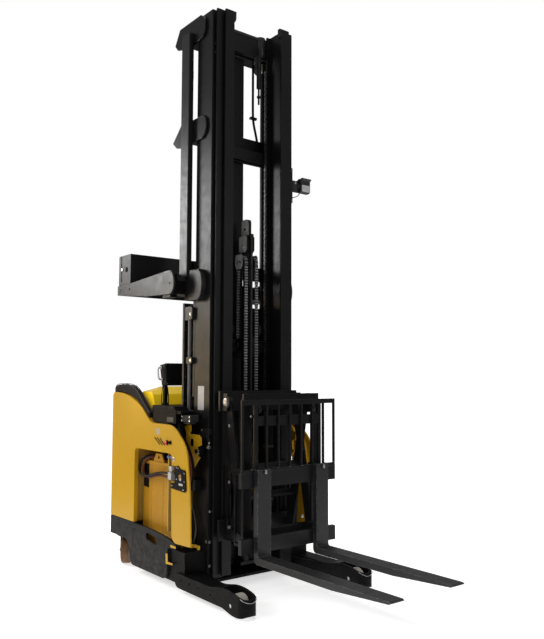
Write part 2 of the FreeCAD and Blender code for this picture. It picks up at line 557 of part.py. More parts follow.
# ---------------------------------------------------------------------------
# reach frame (front end of the scissor), fork carriage, forks
# ---------------------------------------------------------------------------
fx = FRAME_X
fr = []
for sgn in (1,):
    g = cut(box(fx - 40, fx + 40, -308, -292, 320, 790), box(fx - 31, fx + 31, -312, -288, 338, 755))
    fr += [g, box(fx + 38, fx + 54, -308, -246, 320, 1255)]
    fr += [fuse([box(fx, fx + 54, -262, -246, 1145, 1255), ycyl(fx, PIVOT_Z, 38, -262, -246)]),
           ycyl(fx, PIVOT_Z, 15, -262, -224)]
    hl = fuse([box(fx + 54, TILT_X, -232, -214, 1136, 1184), ycyl(TILT_X, TILT_Z, 24, -232, -214)])
    fr += [cut(hl, ycyl(TILT_X, TILT_Z, 12.3, -240, -206)), box(fx + 38, fx + 54, -246, -214, 1130, 1255)]
fr = fr + [my(s) for s in fr]
fr += [box(fx + 38, fx + 54, -308, 308, 1185, 1255), box(fx + 38, fx + 54, -308, 308, 320, 420)]
save("reach_frame", fuse(fr))

fc = []
for sgn in (1,):
    fc += [box(388, 402, -270, -246, 300, 1200),
           fuse([box(372, 402, -270, -246, 1136, 1184), ycyl(TILT_X, TILT_Z, 24, -270, -246)]),
           ycyl(TILT_X, TILT_Z, 12, -250, -208)]
fc = fc + [my(s) for s in fc]
fc += [box(388, 418, -380, 380, 690, 780), box(388, 418, -380, 380, 300, 390), box(388, 402, -270, 270, 1060, 1120)]
fc = fuse(fc)
save("fork_carriage", fc)

save("backrest_rails", box(404, 418, -380, 380, 1190, 1220), box(404, 418, -380, 380, 780, 800))
br = []
for k in range(9):
    y = -380 + k * (760 - 14) / 8.0
    br.append(box(404, 418, y, y + 14, 800, 1190))
save("backrest_bars", br)


def fork(y):
    x0 = FORK_FACE - 36
    tip = FORK_FACE + FORK_LEN
    s = curved([
        ('L', [(x0, 800), (x0, FORK_Z0 + 30)]),
        ('S', [(x0, FORK_Z0 + 30), (x0 + 9, FORK_Z0 + 8), (x0 + 32, FORK_Z0)]),
        ('L', [(x0 + 32, FORK_Z0), (tip - 420, FORK_Z0), (tip - 12, FORK_Z0 + 26)]),
        ('S', [(tip - 12, FORK_Z0 + 26), (tip, FORK_Z0 + 33), (tip - 12, FORK_Z0 + FORK_T)]),
        ('L', [(tip - 12, FORK_Z0 + FORK_T), (FORK_FACE + 14, FORK_Z0 + FORK_T)]),
        ('S', [(FORK_FACE + 14, FORK_Z0 + FORK_T), (FORK_FACE + 4, FORK_Z0 + FORK_T + 4), (FORK_FACE, FORK_Z0 + FORK_T + 14)]),
        ('L', [(FORK_FACE, FORK_Z0 + FORK_T + 14), (FORK_FACE, 800), (x0, 800)]),
    ], y - FORK_W / 2, y + FORK_W / 2)
    return s


save("forks", fork(-FORK_Y), fork(FORK_Y))

# ---------------------------------------------------------------------------
# wheels
# ---------------------------------------------------------------------------
def wheel(r, w, bore, x, y, z, hub=0.55, dish=8):
    """Wheel with rounded tread on a Y axis centred at x, y, z."""
    s = Part.makeCylinder(r, w, V(x, y - w / 2, z), V(0, 1, 0))
    s = s.makeFillet(min(8, w * 0.15), [e for e in s.Edges if e.Curve.TypeId == 'Part::GeomCircle'])
    d = [Part.makeCylinder(r * hub, dish + 1, V(x, y - w / 2 - 1, z), V(0, 1, 0)),
         Part.makeCylinder(r * hub, dish + 1, V(x, y + w / 2 - dish, z), V(0, 1, 0)),
         Part.makeCylinder(bore, w + 4, V(x, y - w / 2 - 2, z), V(0, 1, 0))]
    return cut(s, d)


ly = -463.0
lw = wheel(LOAD_WHEEL_R, LOAD_WHEEL_W, 12.2, LOAD_AXLE_X, ly, LOAD_AXLE_Z, 0.5, 5)
save("load_wheel_right", lw)
save("load_wheel_left", my(lw))

# caster, built with its wheel trailing along +X and then turned
ang = math.degrees(math.atan2(CASTER_DIR[1], CASTER_DIR[0]))
cx, cy = CASTER_X, CASTER_Y
yoke = [cyl(cx, cy, 198, 55, 12), cyl(cx, cy, 208, 30, 10), cyl(cx, cy, 215, 15, 23)]
for s in (-1, 1):
    y0 = cy + s * (CASTER_W / 2 + 6)
    y1 = y0 + s * 9
    ya, yb = min(y0, y1), max(y0, y1)
    yoke.append(fuse([prism([(cx - 34, 204), (cx + 46, 204), (cx + CASTER_TRAIL + 18, CASTER_R), (cx + CASTER_TRAIL - 18, CASTER_R)], ya, yb),
                      ycyl(cx + CASTER_TRAIL, CASTER_R, 20, ya, yb)]))
yoke.append(ycyl(cx + CASTER_TRAIL, CASTER_R, 10, cy - CASTER_W / 2 - 15, cy + CASTER_W / 2 + 15))
yoke = fuse(yoke)
cw = wheel(CASTER_R, CASTER_W, 10.4, cx + CASTER_TRAIL, cy, CASTER_R, 0.6, 8)
save("caster_fork", turned(yoke, cx, cy, 0, (0, 0, 1), ang))
save("caster_wheel", turned(cw, cx, cy, 0, (0, 0, 1), ang))

# drive unit: turntable, gear case beside the wheel, upright motor
dx, dy = DRIVE_X, DRIVE_Y
unit = [cyl(dx, dy, 322, 128, 26), cyl(dx, dy, 348, 100, 60), cyl(dx, dy, 408, 92, 300), cyl(dx, dy, 708, 60, 30),
        box(dx - 60, dx + 60, dy + DRIVE_W / 2 + 8, dy + DRIVE_W / 2 + 50, 80, 330),
        ycyl(dx, DRIVE_R, 62, dy + DRIVE_W / 2 + 8, dy + DRIVE_W / 2 + 50),
        ycyl(dx, DRIVE_R, 24, dy - 20, dy + DRIVE_W / 2 + 10)]
save("drive_unit", fuse(unit))
dw = wheel(DRIVE_R, DRIVE_W, 24.4, dx, dy, DRIVE_R, 0.62, 14)
save("drive_wheel", dw)

# steering tiller on the hood
tx, ty = TILLER_X, TILLER_Y
till = [cyl(tx, ty, 1247, 34, 26), cyl(tx, ty, 1270, 18, 22),
        Part.makeTorus(95, 11, V(tx, ty, 1298), V(0, 0, 1)),
        box(tx - 95, tx + 95, ty - 10, ty + 10, 1290, 1304),
        cyl(tx + 95, ty, 1300, 14, 48)]
save("steering_tiller", fuse(till))
print(len(NODES), "nodes")
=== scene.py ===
import bpy, bmesh, math, random
from mathutils import Vector, Matrix


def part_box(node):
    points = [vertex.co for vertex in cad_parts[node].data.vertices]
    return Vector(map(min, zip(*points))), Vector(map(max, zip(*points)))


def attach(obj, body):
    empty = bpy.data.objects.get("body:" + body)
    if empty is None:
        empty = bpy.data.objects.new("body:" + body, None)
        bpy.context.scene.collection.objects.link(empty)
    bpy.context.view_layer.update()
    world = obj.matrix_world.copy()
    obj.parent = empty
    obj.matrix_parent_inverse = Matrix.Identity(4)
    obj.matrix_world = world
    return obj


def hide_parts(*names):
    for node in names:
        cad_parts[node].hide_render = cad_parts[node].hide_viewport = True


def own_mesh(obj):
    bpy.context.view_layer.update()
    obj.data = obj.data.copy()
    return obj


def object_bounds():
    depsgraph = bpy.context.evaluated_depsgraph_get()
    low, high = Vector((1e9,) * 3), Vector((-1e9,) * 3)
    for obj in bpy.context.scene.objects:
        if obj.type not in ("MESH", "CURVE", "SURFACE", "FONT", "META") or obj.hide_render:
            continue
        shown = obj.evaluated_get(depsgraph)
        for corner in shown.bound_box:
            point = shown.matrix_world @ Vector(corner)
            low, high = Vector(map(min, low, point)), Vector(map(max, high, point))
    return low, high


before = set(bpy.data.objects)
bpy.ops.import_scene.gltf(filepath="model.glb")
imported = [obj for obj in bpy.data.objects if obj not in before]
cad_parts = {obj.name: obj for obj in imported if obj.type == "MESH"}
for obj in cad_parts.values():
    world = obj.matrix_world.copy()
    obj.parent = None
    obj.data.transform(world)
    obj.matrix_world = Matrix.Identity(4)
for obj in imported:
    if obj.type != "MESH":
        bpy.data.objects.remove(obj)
CAD_LO, CAD_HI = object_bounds()

# X of the front face of the outer mast rails; the positions below are written
# in millimetres from that face, like the object's own drawing.
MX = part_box("outer_mast")[1][0]


def P(x, y, z):
    return Vector((MX + x / 1000.0, y / 1000.0, z / 1000.0))


# ---------------------------------------------------------------------------
# materials
# ---------------------------------------------------------------------------
MATS = {}


class Tree:
    def __init__(self, name):
        self.m = bpy.data.materials.new(name)
        self.m.use_nodes = True
        self.t = self.m.node_tree
        self.n = self.t.nodes
        self.l = self.t.links
        self.b = self.n["Principled BSDF"]
        tc = self.n.new("ShaderNodeTexCoord")
        self.co = tc.outputs["Object"]

    def noise(self, scale, detail=3.0, rough=0.55, co=None, stretch=None):
        nd = self.n.new("ShaderNodeTexNoise")
        nd.inputs["Scale"].default_value = scale
        nd.inputs["Detail"].default_value = detail
        nd.inputs["Roughness"].default_value = rough
        src = co or self.co
        if stretch:
            mp = self.n.new("ShaderNodeMapping")
            mp.inputs["Scale"].default_value = stretch
            self.l.new(src, mp.inputs["Vector"])
            src = mp.outputs["Vector"]
        self.l.new(src, nd.inputs["Vector"])
        return nd.outputs["Fac"]

    def rng(self, v, a, b, c, d, clamp=True):
        nd = self.n.new("ShaderNodeMapRange")
        nd.clamp = clamp
        for i, k in zip((1, 2, 3, 4), (a, b, c, d)):
            nd.inputs[i].default_value = k
        self.l.new(v, nd.inputs[0])
        return nd.outputs[0]

    def math(self, op, a, b=None, clamp=False):
        nd = self.n.new("ShaderNodeMath")
        nd.operation = op
        nd.use_clamp = clamp
        for i, v in enumerate((a, b)):
            if v is None:
                continue
            if isinstance(v, (int, float)):
                nd.inputs[i].default_value = v
            else:
                self.l.new(v, nd.inputs[i])
        return nd.outputs[0]

    def scale(self, col, fac):
        nd = self.n.new("ShaderNodeVectorMath")
        nd.operation = "SCALE"
        if isinstance(col, tuple):
            nd.inputs[0].default_value = col[:3]
        else:
            self.l.new(col, nd.inputs[0])
        self.l.new(fac, nd.inputs["Scale"])
        return nd.outputs[0]

    def mix(self, fac, a, b):
        nd = self.n.new("ShaderNodeMix")
        nd.data_type = "RGBA"
        if isinstance(fac, (int, float)):
            nd.inputs["Factor"].default_value = fac
        else:
            self.l.new(fac, nd.inputs["Factor"])
        for k, v in (("A", a), ("B", b)):
            s = [i for i in nd.inputs if i.name == k and i.type == "RGBA"][0]
            if isinstance(v, tuple):
                s.default_value = (v[0], v[1], v[2], 1.0)
            else:
                self.l.new(v, s)
        return [o for o in nd.outputs if o.type == "RGBA"][0]

    def edges(self, radius=0.002):
        """0 on flat faces, towards 1 on outer edges: the mask for edge wear and for painted edge highlights."""
        bv = self.n.new("ShaderNodeBevel")
        bv.samples = 4
        bv.inputs["Radius"].default_value = radius
        ge = self.n.new("ShaderNodeNewGeometry")
        dt = self.n.new("ShaderNodeVectorMath")
        dt.operation = "DOT_PRODUCT"
        self.l.new(bv.outputs["Normal"], dt.inputs[0])
        self.l.new(ge.outputs["Normal"], dt.inputs[1])
        return self.rng(dt.outputs["Value"], 0.995, 0.85, 0.0, 1.0)

    def occl(self, dist=0.06):
        ao = self.n.new("ShaderNodeAmbientOcclusion")
        ao.samples = 4
        ao.inputs["Distance"].default_value = dist
        return ao.outputs["AO"]

    def bump(self, h, strength, dist, nrm=None):
        nd = self.n.new("ShaderNodeBump")
        nd.inputs["Strength"].default_value = strength
        nd.inputs["Distance"].default_value = dist
        self.l.new(h, nd.inputs["Height"])
        if nrm is not None:
            self.l.new(nrm, nd.inputs["Normal"])
        return nd.outputs["Normal"]

    def put(self, name, v):
        s = self.b.inputs[name]
        if hasattr(v, "links") or isinstance(v, bpy.types.NodeSocket):
            self.l.new(v, s)
        elif isinstance(v, tuple):
            s.default_value = (v[0], v[1], v[2], 1.0)
        else:
            s.default_value = v


def surface(name, base, rough=0.5, metal=0.0, spec=0.5, var=0.08, vs=5.0, fine=0.04, fs=70.0,
            rv=0.07, rs=22.0, bump=0.15, bs=420.0, bd=0.0004, edge=None, edge_amt=0.5, edge_r=0.002,
            grime_and_shade=0.0, grime_and_shade_col=(0.05, 0.04, 0.03), low=0.0, coat=0.0, coatr=0.08, stretch=None, grain=None):
    k = Tree(name)
    a = k.rng(k.noise(vs, 4.0, stretch=stretch), 0.3, 0.7, 1 - var, 1 + var)
    b = k.rng(k.noise(fs, 3.0, stretch=stretch), 0.3, 0.7, 1 - fine, 1 + fine)
    col = k.scale(tuple(base), k.math("MULTIPLY", a, b))
    # darkening where ambient occlusion finds corners and hollows, broken up by noise, towards a darker copy of the
    # colour: grime and painted shade
    if grime_and_shade > 0:
        o = k.occl()
        grime_and_shade_mask = k.math("MULTIPLY", k.rng(o, 0.9, 0.25, 0.0, 1.0), k.rng(k.noise(18.0, 5.0, 0.7), 0.35, 0.65, 0.3, 1.0))
        col = k.mix(k.math("MULTIPLY", grime_and_shade_mask, grime_and_shade), col, tuple(grime_and_shade_col))
    if low > 0:
        sx = k.n.new("ShaderNodeSeparateXYZ")
        k.l.new(k.co, sx.inputs[0])
        dust = k.math("MULTIPLY", k.rng(sx.outputs["Z"], 0.45, 0.02, 0.0, 1.0), k.rng(k.noise(30.0, 5.0, 0.7), 0.4, 0.7, 0.0, 1.0))
        col = k.mix(k.math("MULTIPLY", dust, low), col, (0.16, 0.14, 0.12))
    # outer edges take the edge colour through the bevel mask, broken by noise: part wear, part painted highlight where
    # the edge colour is lighter, painted shade where it is darker
    if edge is not None:
        e = k.math("MULTIPLY", k.edges(edge_r), k.rng(k.noise(55.0, 4.0, 0.7), 0.42, 0.62, 0.0, 1.0))
        col = k.mix(k.math("MULTIPLY", e, edge_amt), col, tuple(edge))
    k.put("Base Color", col)
    k.put("Metallic", metal)
    k.put("Specular IOR Level", spec)
    k.put("Roughness", k.rng(k.noise(rs, 4.0, 0.6, stretch=stretch), 0.3, 0.7, max(0.03, rough - rv), min(1.0, rough + rv)))
    if grain == "leather":
        vo = k.n.new("ShaderNodeTexVoronoi")
        vo.feature = "DISTANCE_TO_EDGE"
        vo.inputs["Scale"].default_value = 330.0
        k.l.new(k.co, vo.inputs["Vector"])
        h = k.rng(vo.outputs["Distance"], 0.0, 0.25, 0.0, 1.0)
        n1 = k.bump(h, 0.35, 0.0006)
        nr = k.bump(k.noise(40.0, 3.0), 0.12, 0.002, n1)
    elif grain == "brushed":
        nr = k.bump(k.noise(60.0, 2.0, stretch=(1.0, 1.0, 30.0)), 0.08, 0.0003)
    elif grain == "orange":
        nr = k.bump(k.noise(190.0, 2.0), 0.10, 0.0007, k.bump(k.noise(9.0, 2.0), 0.10, 0.004))
    else:
        nr = k.bump(k.noise(bs, 3.0, 0.6), bump, bd)
    k.put("Normal", nr)
    if coat > 0:
        k.put("Coat Weight", coat)
        k.put("Coat Roughness", coatr)
    MATS[name] = k.m
    return k.m


YEL = (0.55, 0.308, 0.010)
surface("body_paint", YEL, rough=0.38, spec=0.18, var=0.035, vs=2.4, fine=0.015, grain="orange", rv=0.05,
        edge=(0.93, 0.60, 0.12), edge_amt=0.35, edge_r=0.004, grime_and_shade=0.18, grime_and_shade_col=(0.26, 0.13, 0.02), low=0.10)
# a much brighter yellow than the body paint for the cowl: painted light on a cover painted like the body
surface("gloss_cover", (0.95, 0.63, 0.016), rough=0.16, spec=0.6, var=0.03, vs=3.0, fine=0.01, grain="orange", rv=0.04,
        coat=0.7, coatr=0.05, edge=(0.95, 0.72, 0.2), edge_amt=0.3, grime_and_shade=0.25, grime_and_shade_col=(0.25, 0.13, 0.01))
surface("battery_case", (0.46, 0.225, 0.010), rough=0.5, spec=0.22, var=0.08, vs=4.0, fine=0.05, bump=0.25, bs=160.0, bd=0.0006,
        edge=(0.75, 0.46, 0.12), edge_amt=0.3, grime_and_shade=0.5, grime_and_shade_col=(0.16, 0.085, 0.02), low=0.2)
# a duller, olive copy of the body yellow for the compartment's inner walls: painted shade of the recess
surface("inner_paint_shaded", (0.47, 0.29, 0.055), rough=0.5, spec=0.3, var=0.06, vs=5.0, grain="orange",
        grime_and_shade=0.5, grime_and_shade_col=(0.13, 0.08, 0.02))
surface("mast_black", (0.0085, 0.0085, 0.0092), rough=0.36, spec=0.20, var=0.18, vs=3.0, fine=0.08, rv=0.05, grain="orange",
        edge=(0.085, 0.085, 0.09), edge_amt=0.6, edge_r=0.003, low=0.06)
surface("leg_black", (0.0050, 0.0048, 0.0050), rough=0.42, spec=0.05, var=0.2, vs=6.0, fine=0.1, rv=0.06, grain="orange",
        edge=(0.20, 0.20, 0.21), edge_amt=0.55, edge_r=0.004, low=0.04)
# light grey for the side plates of the lift head, far lighter than the head's black: painted light on faces left in
# shade; its darker edge colour is painted shade
surface("head_lit_grey", (0.86, 0.86, 0.83), rough=0.40, spec=0.5, metal=0.1, var=0.14, vs=9.0, fine=0.08, bump=0.2, bs=300.0,
        edge=(0.22, 0.22, 0.22), edge_amt=0.6, edge_r=0.002)
surface("mast_satin", (0.017, 0.017, 0.0175), rough=0.35, spec=0.30, var=0.14, vs=4.0, fine=0.08, grain="orange",
        edge=(0.16, 0.16, 0.16), edge_amt=0.6, edge_r=0.002)
surface("boss_satin", (0.034, 0.034, 0.036), rough=0.30, metal=0.3, spec=0.45, var=0.14, vs=4.0, fine=0.08, grain="brushed")
surface("dark_grey", (0.0090, 0.0090, 0.0094), rough=0.52, spec=0.10, var=0.05, vs=4.0, fine=0.05, bump=0.35, bs=900.0, bd=0.0005,
        edge=(0.11, 0.11, 0.115), edge_amt=0.5, edge_r=0.003, low=0.25)
surface("black_plastic", (0.0050, 0.0046, 0.0048), rough=0.46, spec=0.08, var=0.08, fine=0.06, bump=0.35, bs=1100.0, bd=0.0005,
        edge=(0.07, 0.07, 0.075), edge_amt=0.5, edge_r=0.002)
surface("rubber", (0.012, 0.012, 0.0125), rough=0.62, spec=0.3, var=0.15, fine=0.1, bump=0.3, bs=600.0, bd=0.0005)
surface("pad_vinyl", (0.0165, 0.0125, 0.0125), rough=0.58, spec=0.08, var=0.07, vs=7.0, fine=0.05, grain="leather")
surface("tinted_sheet", (0.010, 0.010, 0.011), rough=0.13, spec=0.5, var=0.10, vs=3.0, fine=0.05, bump=0.05, bs=30.0, bd=0.001, coat=0.4)
# black for slits, holes, gaps and link waists: painted shade of openings and recesses
surface("opening_shade_black", (0.004, 0.004, 0.004), rough=0.8, spec=0.1, var=0.1, fine=0.1)
surface("cardboard_tone", (0.10, 0.075, 0.05), rough=0.5, spec=0.3, var=0.1, fine=0.1)
surface("seam_thread", (0.075, 0.070, 0.078), rough=0.7, spec=0.2, var=0.15, fs=600.0, bump=0.5, bs=1500.0)
surface("fork_steel", (0.022, 0.022, 0.023), rough=0.42, metal=0.25, spec=0.4, var=0.15, fine=0.12, bump=0.3, bs=200.0,
        edge=(0.36, 0.35, 0.34), edge_amt=0.85, edge_r=0.004)
surface("rod_chrome", (0.62, 0.62, 0.63), rough=0.14, metal=1.0, var=0.05, fine=0.03, rv=0.05, grain="brushed")
surface("axle_steel", (0.42, 0.42, 0.43), rough=0.34, metal=1.0, var=0.10, fine=0.08, rv=0.1, bump=0.2, bs=500.0)
surface("zinc", (0.70, 0.70, 0.68), rough=0.30, metal=1.0, var=0.10, fine=0.08, rv=0.1, bump=0.2, bs=700.0)
surface("chain_steel", (0.42, 0.42, 0.42), rough=0.36, metal=0.8, spec=0.5, var=0.2, fine=0.12, fs=250.0, bump=0.25, bs=700.0,
        edge=(0.5, 0.5, 0.5), edge_amt=0.6, edge_r=0.0008)
surface("tube_grey", (0.15, 0.15, 0.15), rough=0.38, metal=0.4, spec=0.5, var=0.1, fine=0.06, bump=0.15)
surface("caster_tread", (0.150, 0.060, 0.016), rough=0.5, spec=0.4, var=0.16, vs=25.0, fine=0.10, bump=0.35, bs=260.0, bd=0.0008,
        grime_and_shade=0.2, low=0.25)
surface("load_tread", (0.40, 0.38, 0.33), rough=0.55, spec=0.35, var=0.12, vs=25.0, fine=0.10, bump=0.3, bs=260.0, bd=0.0008, low=0.3)
surface("drive_tread", (0.020, 0.020, 0.021), rough=0.6, spec=0.3, var=0.15, vs=18.0, fine=0.1, bump=0.4, bs=260.0, bd=0.0008, low=0.3)
surface("hub_grey", (0.10, 0.10, 0.105), rough=0.45, metal=0.5, spec=0.5, var=0.12, fine=0.08, bump=0.4, bs=240.0)
surface("lamp_metal", (0.020, 0.020, 0.021), rough=0.40, spec=0.42, var=0.1, fine=0.06, bump=0.25, bs=700.0,
        edge=(0.09, 0.09, 0.09), edge_amt=0.5)
surface("grey_plastic", (0.045, 0.046, 0.048), rough=0.42, spec=0.35, var=0.06, fine=0.05, bump=0.3, bs=900.0,
        edge=(0.2, 0.2, 0.2), edge_amt=0.4)
surface("pale_plastic", (0.48, 0.48, 0.46), rough=0.42, spec=0.45, var=0.06, fine=0.05, bump=0.3, bs=700.0,
        grime_and_shade=0.5, grime_and_shade_col=(0.12, 0.11, 0.10))
surface("pale_plate", (0.52, 0.50, 0.50), rough=0.38, spec=0.45, var=0.05, vs=40.0, fine=0.05, fs=300.0, bump=0.15)
surface("red_plastic", (0.55, 0.015, 0.010), rough=0.25, spec=0.5, var=0.08, vs=20.0, fine=0.05, coat=0.4)
surface("red_hose", (0.17, 0.046, 0.026), rough=0.45, spec=0.25, var=0.15, vs=15.0, fine=0.08, bump=0.3, bs=500.0)
surface("dull_plate", (0.44, 0.36, 0.24), rough=0.42, spec=0.35, var=0.08, vs=40.0, fine=0.08, fs=300.0, bump=0.15)
surface("red_cable", (0.085, 0.024, 0.015), rough=0.45, spec=0.18, var=0.15, vs=15.0, fine=0.08, bump=0.3, bs=500.0)
surface("black_cable", (0.0060, 0.0048, 0.0045), rough=0.46, spec=0.14, var=0.12, vs=15.0, fine=0.08, bump=0.3, bs=500.0)
surface("blue_plastic", (0.10, 0.13, 0.30), rough=0.4, spec=0.45, var=0.1, vs=20.0, fine=0.05)
surface("brass", (0.46, 0.30, 0.11), rough=0.35, metal=0.9, var=0.1, vs=30.0, fine=0.08)
surface("amber_strip", (0.075, 0.045, 0.014), rough=0.45, spec=0.4, var=0.2, vs=20.0, fine=0.1)
surface("lens", (0.60, 0.61, 0.60), rough=0.18, spec=0.6, var=0.10, vs=60.0, fine=0.10, fs=260.0, bump=0.5, bs=330.0, bd=0.001, coat=0.6)
surface("screen_glass", (0.010, 0.011, 0.013), rough=0.10, spec=0.6, var=0.10, fine=0.05, bump=0.03, coat=0.5)


def ribbed(name, base, pitch, axis, rough=0.6):
    k = Tree(name)
    sx = k.n.new("ShaderNodeSeparateXYZ")
    k.l.new(k.co, sx.inputs[0])
    w = k.math("SINE", k.math("MULTIPLY", sx.outputs[axis], 2 * math.pi / pitch))
    h = k.rng(w, -0.4, 0.4, 0.0, 1.0)
    a = k.rng(k.noise(9.0, 4.0), 0.3, 0.7, 0.85, 1.15)
    # colour darker in the rib troughs, following the bump: painted shade in the grooves
    k.put("Base Color", k.scale(k.mix(h, tuple(c * 0.6 for c in base), tuple(base)), a))
    k.put("Roughness", k.rng(k.noise(30.0, 3.0), 0.3, 0.7, rough - 0.08, rough + 0.08))
    k.put("Specular IOR Level", 0.3)
    k.put("Normal", k.bump(h, 0.6, 0.002, k.bump(k.noise(500.0, 3.0), 0.3, 0.0004)))
    MATS[name] = k.m


ribbed("floor_mat", (0.022, 0.022, 0.023), 0.012, "Y")

# ---------------------------------------------------------------------------
# mesh helpers (millimetres in, metres out, row frame)
# ---------------------------------------------------------------------------


def finish(name, bm, body, mat, bevel=0.0, seg=2, smooth=True, angle=35.0, parent=None):
    bmesh.ops.remove_doubles(bm, verts=bm.verts, dist=1e-6)
    bmesh.ops.recalc_face_normals(bm, faces=bm.faces)
    me = bpy.data.meshes.new(name)
    bm.to_mesh(me)
    bm.free()
    o = bpy.data.objects.new(name, me)
    bpy.context.scene.collection.objects.link(o)
    me.materials.append(MATS[mat] if isinstance(mat, str) else mat)
    soften(o, bevel, seg, smooth, angle)
    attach(o, body)
    return o


def soften(o, bevel, seg=2, smooth=True, angle=35.0):
    me = o.data
    if bevel > 0:
        b = o.modifiers.new("edge", "BEVEL")
        b.width = bevel / 1000.0
        b.segments = seg
        b.limit_method = "ANGLE"
        b.angle_limit = math.radians(angle)
        b.miter_outer = "MITER_ARC"
        b.harden_normals = False
        b.use_clamp_overlap = True
    if smooth:
        me.polygons.foreach_set("use_smooth", [True] * len(me.polygons))
        # sharp edges follow the angle between faces
        bm = bmesh.new()
        bm.from_mesh(me)
        lim = math.radians(angle)
        if bevel <= 0:
            for e in bm.edges:
                e.smooth = not (len(e.link_faces) == 2 and e.calc_face_angle(0.0) > lim)
        bm.to_mesh(me)
        bm.free()
        if bevel > 0:
            w = o.modifiers.new("normals", "WEIGHTED_NORMAL")
            w.keep_sharp = True
            w.weight = 60


def quad_box(bm, x0, x1, y0, y1, z0, z1):
    vs = [bm.verts.new(P(x, y, z)) for x in (x0, x1) for y in (y0, y1) for z in (z0, z1)]
    for f in ((0, 1, 3, 2), (4, 6, 7, 5), (0, 4, 5, 1), (2, 3, 7, 6), (0, 2, 6, 4), (1, 5, 7, 3)):
        bm.faces.new([vs[i] for i in f])


def frame_of(d):
    d = Vector(d).normalized()
    up = Vector((0, 0, 1)) if abs(d.z) < 0.9 else Vector((1, 0, 0))
    u = d.cross(up).normalized()
    return u, u.cross(d).normalized(), d


def lathe(bm, at, axis, prof, n=24, caps=True):
    """prof: (distance along axis mm, radius mm) pairs."""
    u, v, d = frame_of(axis)
    o = P(*at)
    rings = []
    for h, r in prof:
        ring = []
        for i in range(n):
            a = 2 * math.pi * i / n
            ring.append(bm.verts.new(o + d * (h / 1000.0) + (u * math.cos(a) + v * math.sin(a)) * (max(r, 0.01) / 1000.0)))
        rings.append(ring)
    for a, b in zip(rings[:-1], rings[1:]):
        for i in range(n):
            j = (i + 1) % n
            bm.faces.new((a[i], a[j], b[j], b[i]))
    if caps:
        bm.faces.new(list(reversed(rings[0])))
        bm.faces.new(rings[-1])


def plate(bm, pts, y0, y1, plane="xz"):
    """Flat plate from an outline; plane xz (thickness in y), xy (z) or yz (x)."""
    def q(a, b, t):
        return {"xz": (a, t, b), "xy": (a, b, t), "yz": (t, a, b)}[plane]
    lo = [bm.verts.new(P(*q(a, b, y0))) for a, b in pts]
    hi = [bm.verts.new(P(*q(a, b, y1))) for a, b in pts]
    bm.faces.new(lo)
    bm.faces.new(list(reversed(hi)))
    n = len(pts)
    for i in range(n):
        j = (i + 1) % n
        bm.faces.new((lo[i], hi[i], hi[j], lo[j]))


def rounded(x0, x1, z0, z1, r, n=5):
    pts = []
    for cx, cz, a0 in ((x1 - r, z1 - r, 0), (x0 + r, z1 - r, 90), (x0 + r, z0 + r, 180), (x1 - r, z0 + r, 270)):
        for i in range(n + 1):
            a = math.radians(a0 + 90.0 * i / n)
            pts.append((cx + r * math.cos(a), cz + r * math.sin(a)))
    return pts


def stadium(xa, za, xb, zb, r, n=8):
    a0 = math.atan2(zb - za, xb - xa)
    pts = []
    for i in range(n + 1):
        a = a0 - math.pi / 2 + math.pi * i / n
        pts.append((xb + r * math.cos(a), zb + r * math.sin(a)))
    for i in range(n + 1):
        a = a0 + math.pi / 2 + math.pi * i / n
        pts.append((xa + r * math.cos(a), za + r * math.sin(a)))
    return pts


def nurbs(name, pts, r, body, mat, sides=3):
    """Round pipe, hose or cable: one NURBS spline through mast-frame points."""
    cu = bpy.data.curves.new(name, "CURVE")
    cu.dimensions = "3D"
    cu.bevel_depth = r / 1000.0
    cu.bevel_resolution = sides
    cu.resolution_u = 8
    cu.use_fill_caps = True
    sp = cu.splines.new("NURBS")
    sp.points.add(len(pts) - 1)
    for q, w in zip(sp.points, pts):
        v = P(*w)
        q.co = (v.x, v.y, v.z, 1.0)
    sp.order_u = 3
    sp.use_endpoint_u = True
    cu.materials.append(MATS[mat])
    o = bpy.data.objects.new(name, cu)
    bpy.context.scene.collection.objects.link(o)
    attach(o, body)
    return o


def hexbolt(bm, at, axis, r=9.0, h=7.0, washer=True):
    """Hex head with a chamfered top on a washer, standing on the surface at `at`."""
    u, v, d = frame_of(axis)
    o = P(*at)
    if washer:
        lathe(bm, at, axis, [(-0.5, r * 1.35), (1.6, r * 1.35), (2.0, r * 1.28), (2.0, r * 0.6)], 20)
    prof = [(1.5, r), (h * 0.8, r), (h, r * 0.86)]
    rings = []
    for hh, rr in prof:
        rings.append([bm.verts.new(o + d * (hh / 1000.0) + (u * math.cos(k * math.pi / 3) + v * math.sin(k * math.pi / 3)) * rr / 1000.0)
                      for k in range(6)])
    for a, b in zip(rings[:-1], rings[1:]):
        for i in range(6):
            bm.faces.new((a[i], a[(i + 1) % 6], b[(i + 1) % 6], b[i]))
    bm.faces.new(list(reversed(rings[0])))
    bm.faces.new(rings[-1])


def button_head(bm, at, axis, r=7.0, h=4.0):
    """Round socket head: dome with a hex recess rim."""
    lathe(bm, at, axis, [(-0.5, r), (h * 0.35, r), (h * 0.8, r * 0.82), (h, r * 0.52), (h, r * 0.42), (h * 0.45, r * 0.40)], 20)


def bolts(name, spots, body, mat="zinc", kind="hex"):
    bm = bmesh.new()
    for s in spots:
        at, axis, r = s[0], s[1], s[2]
        if kind == "hex":
            hexbolt(bm, at, axis, r, r * 0.75)
        else:
            button_head(bm, at, axis, r, r * 0.55)
    return finish(name, bm, body, mat, angle=30)


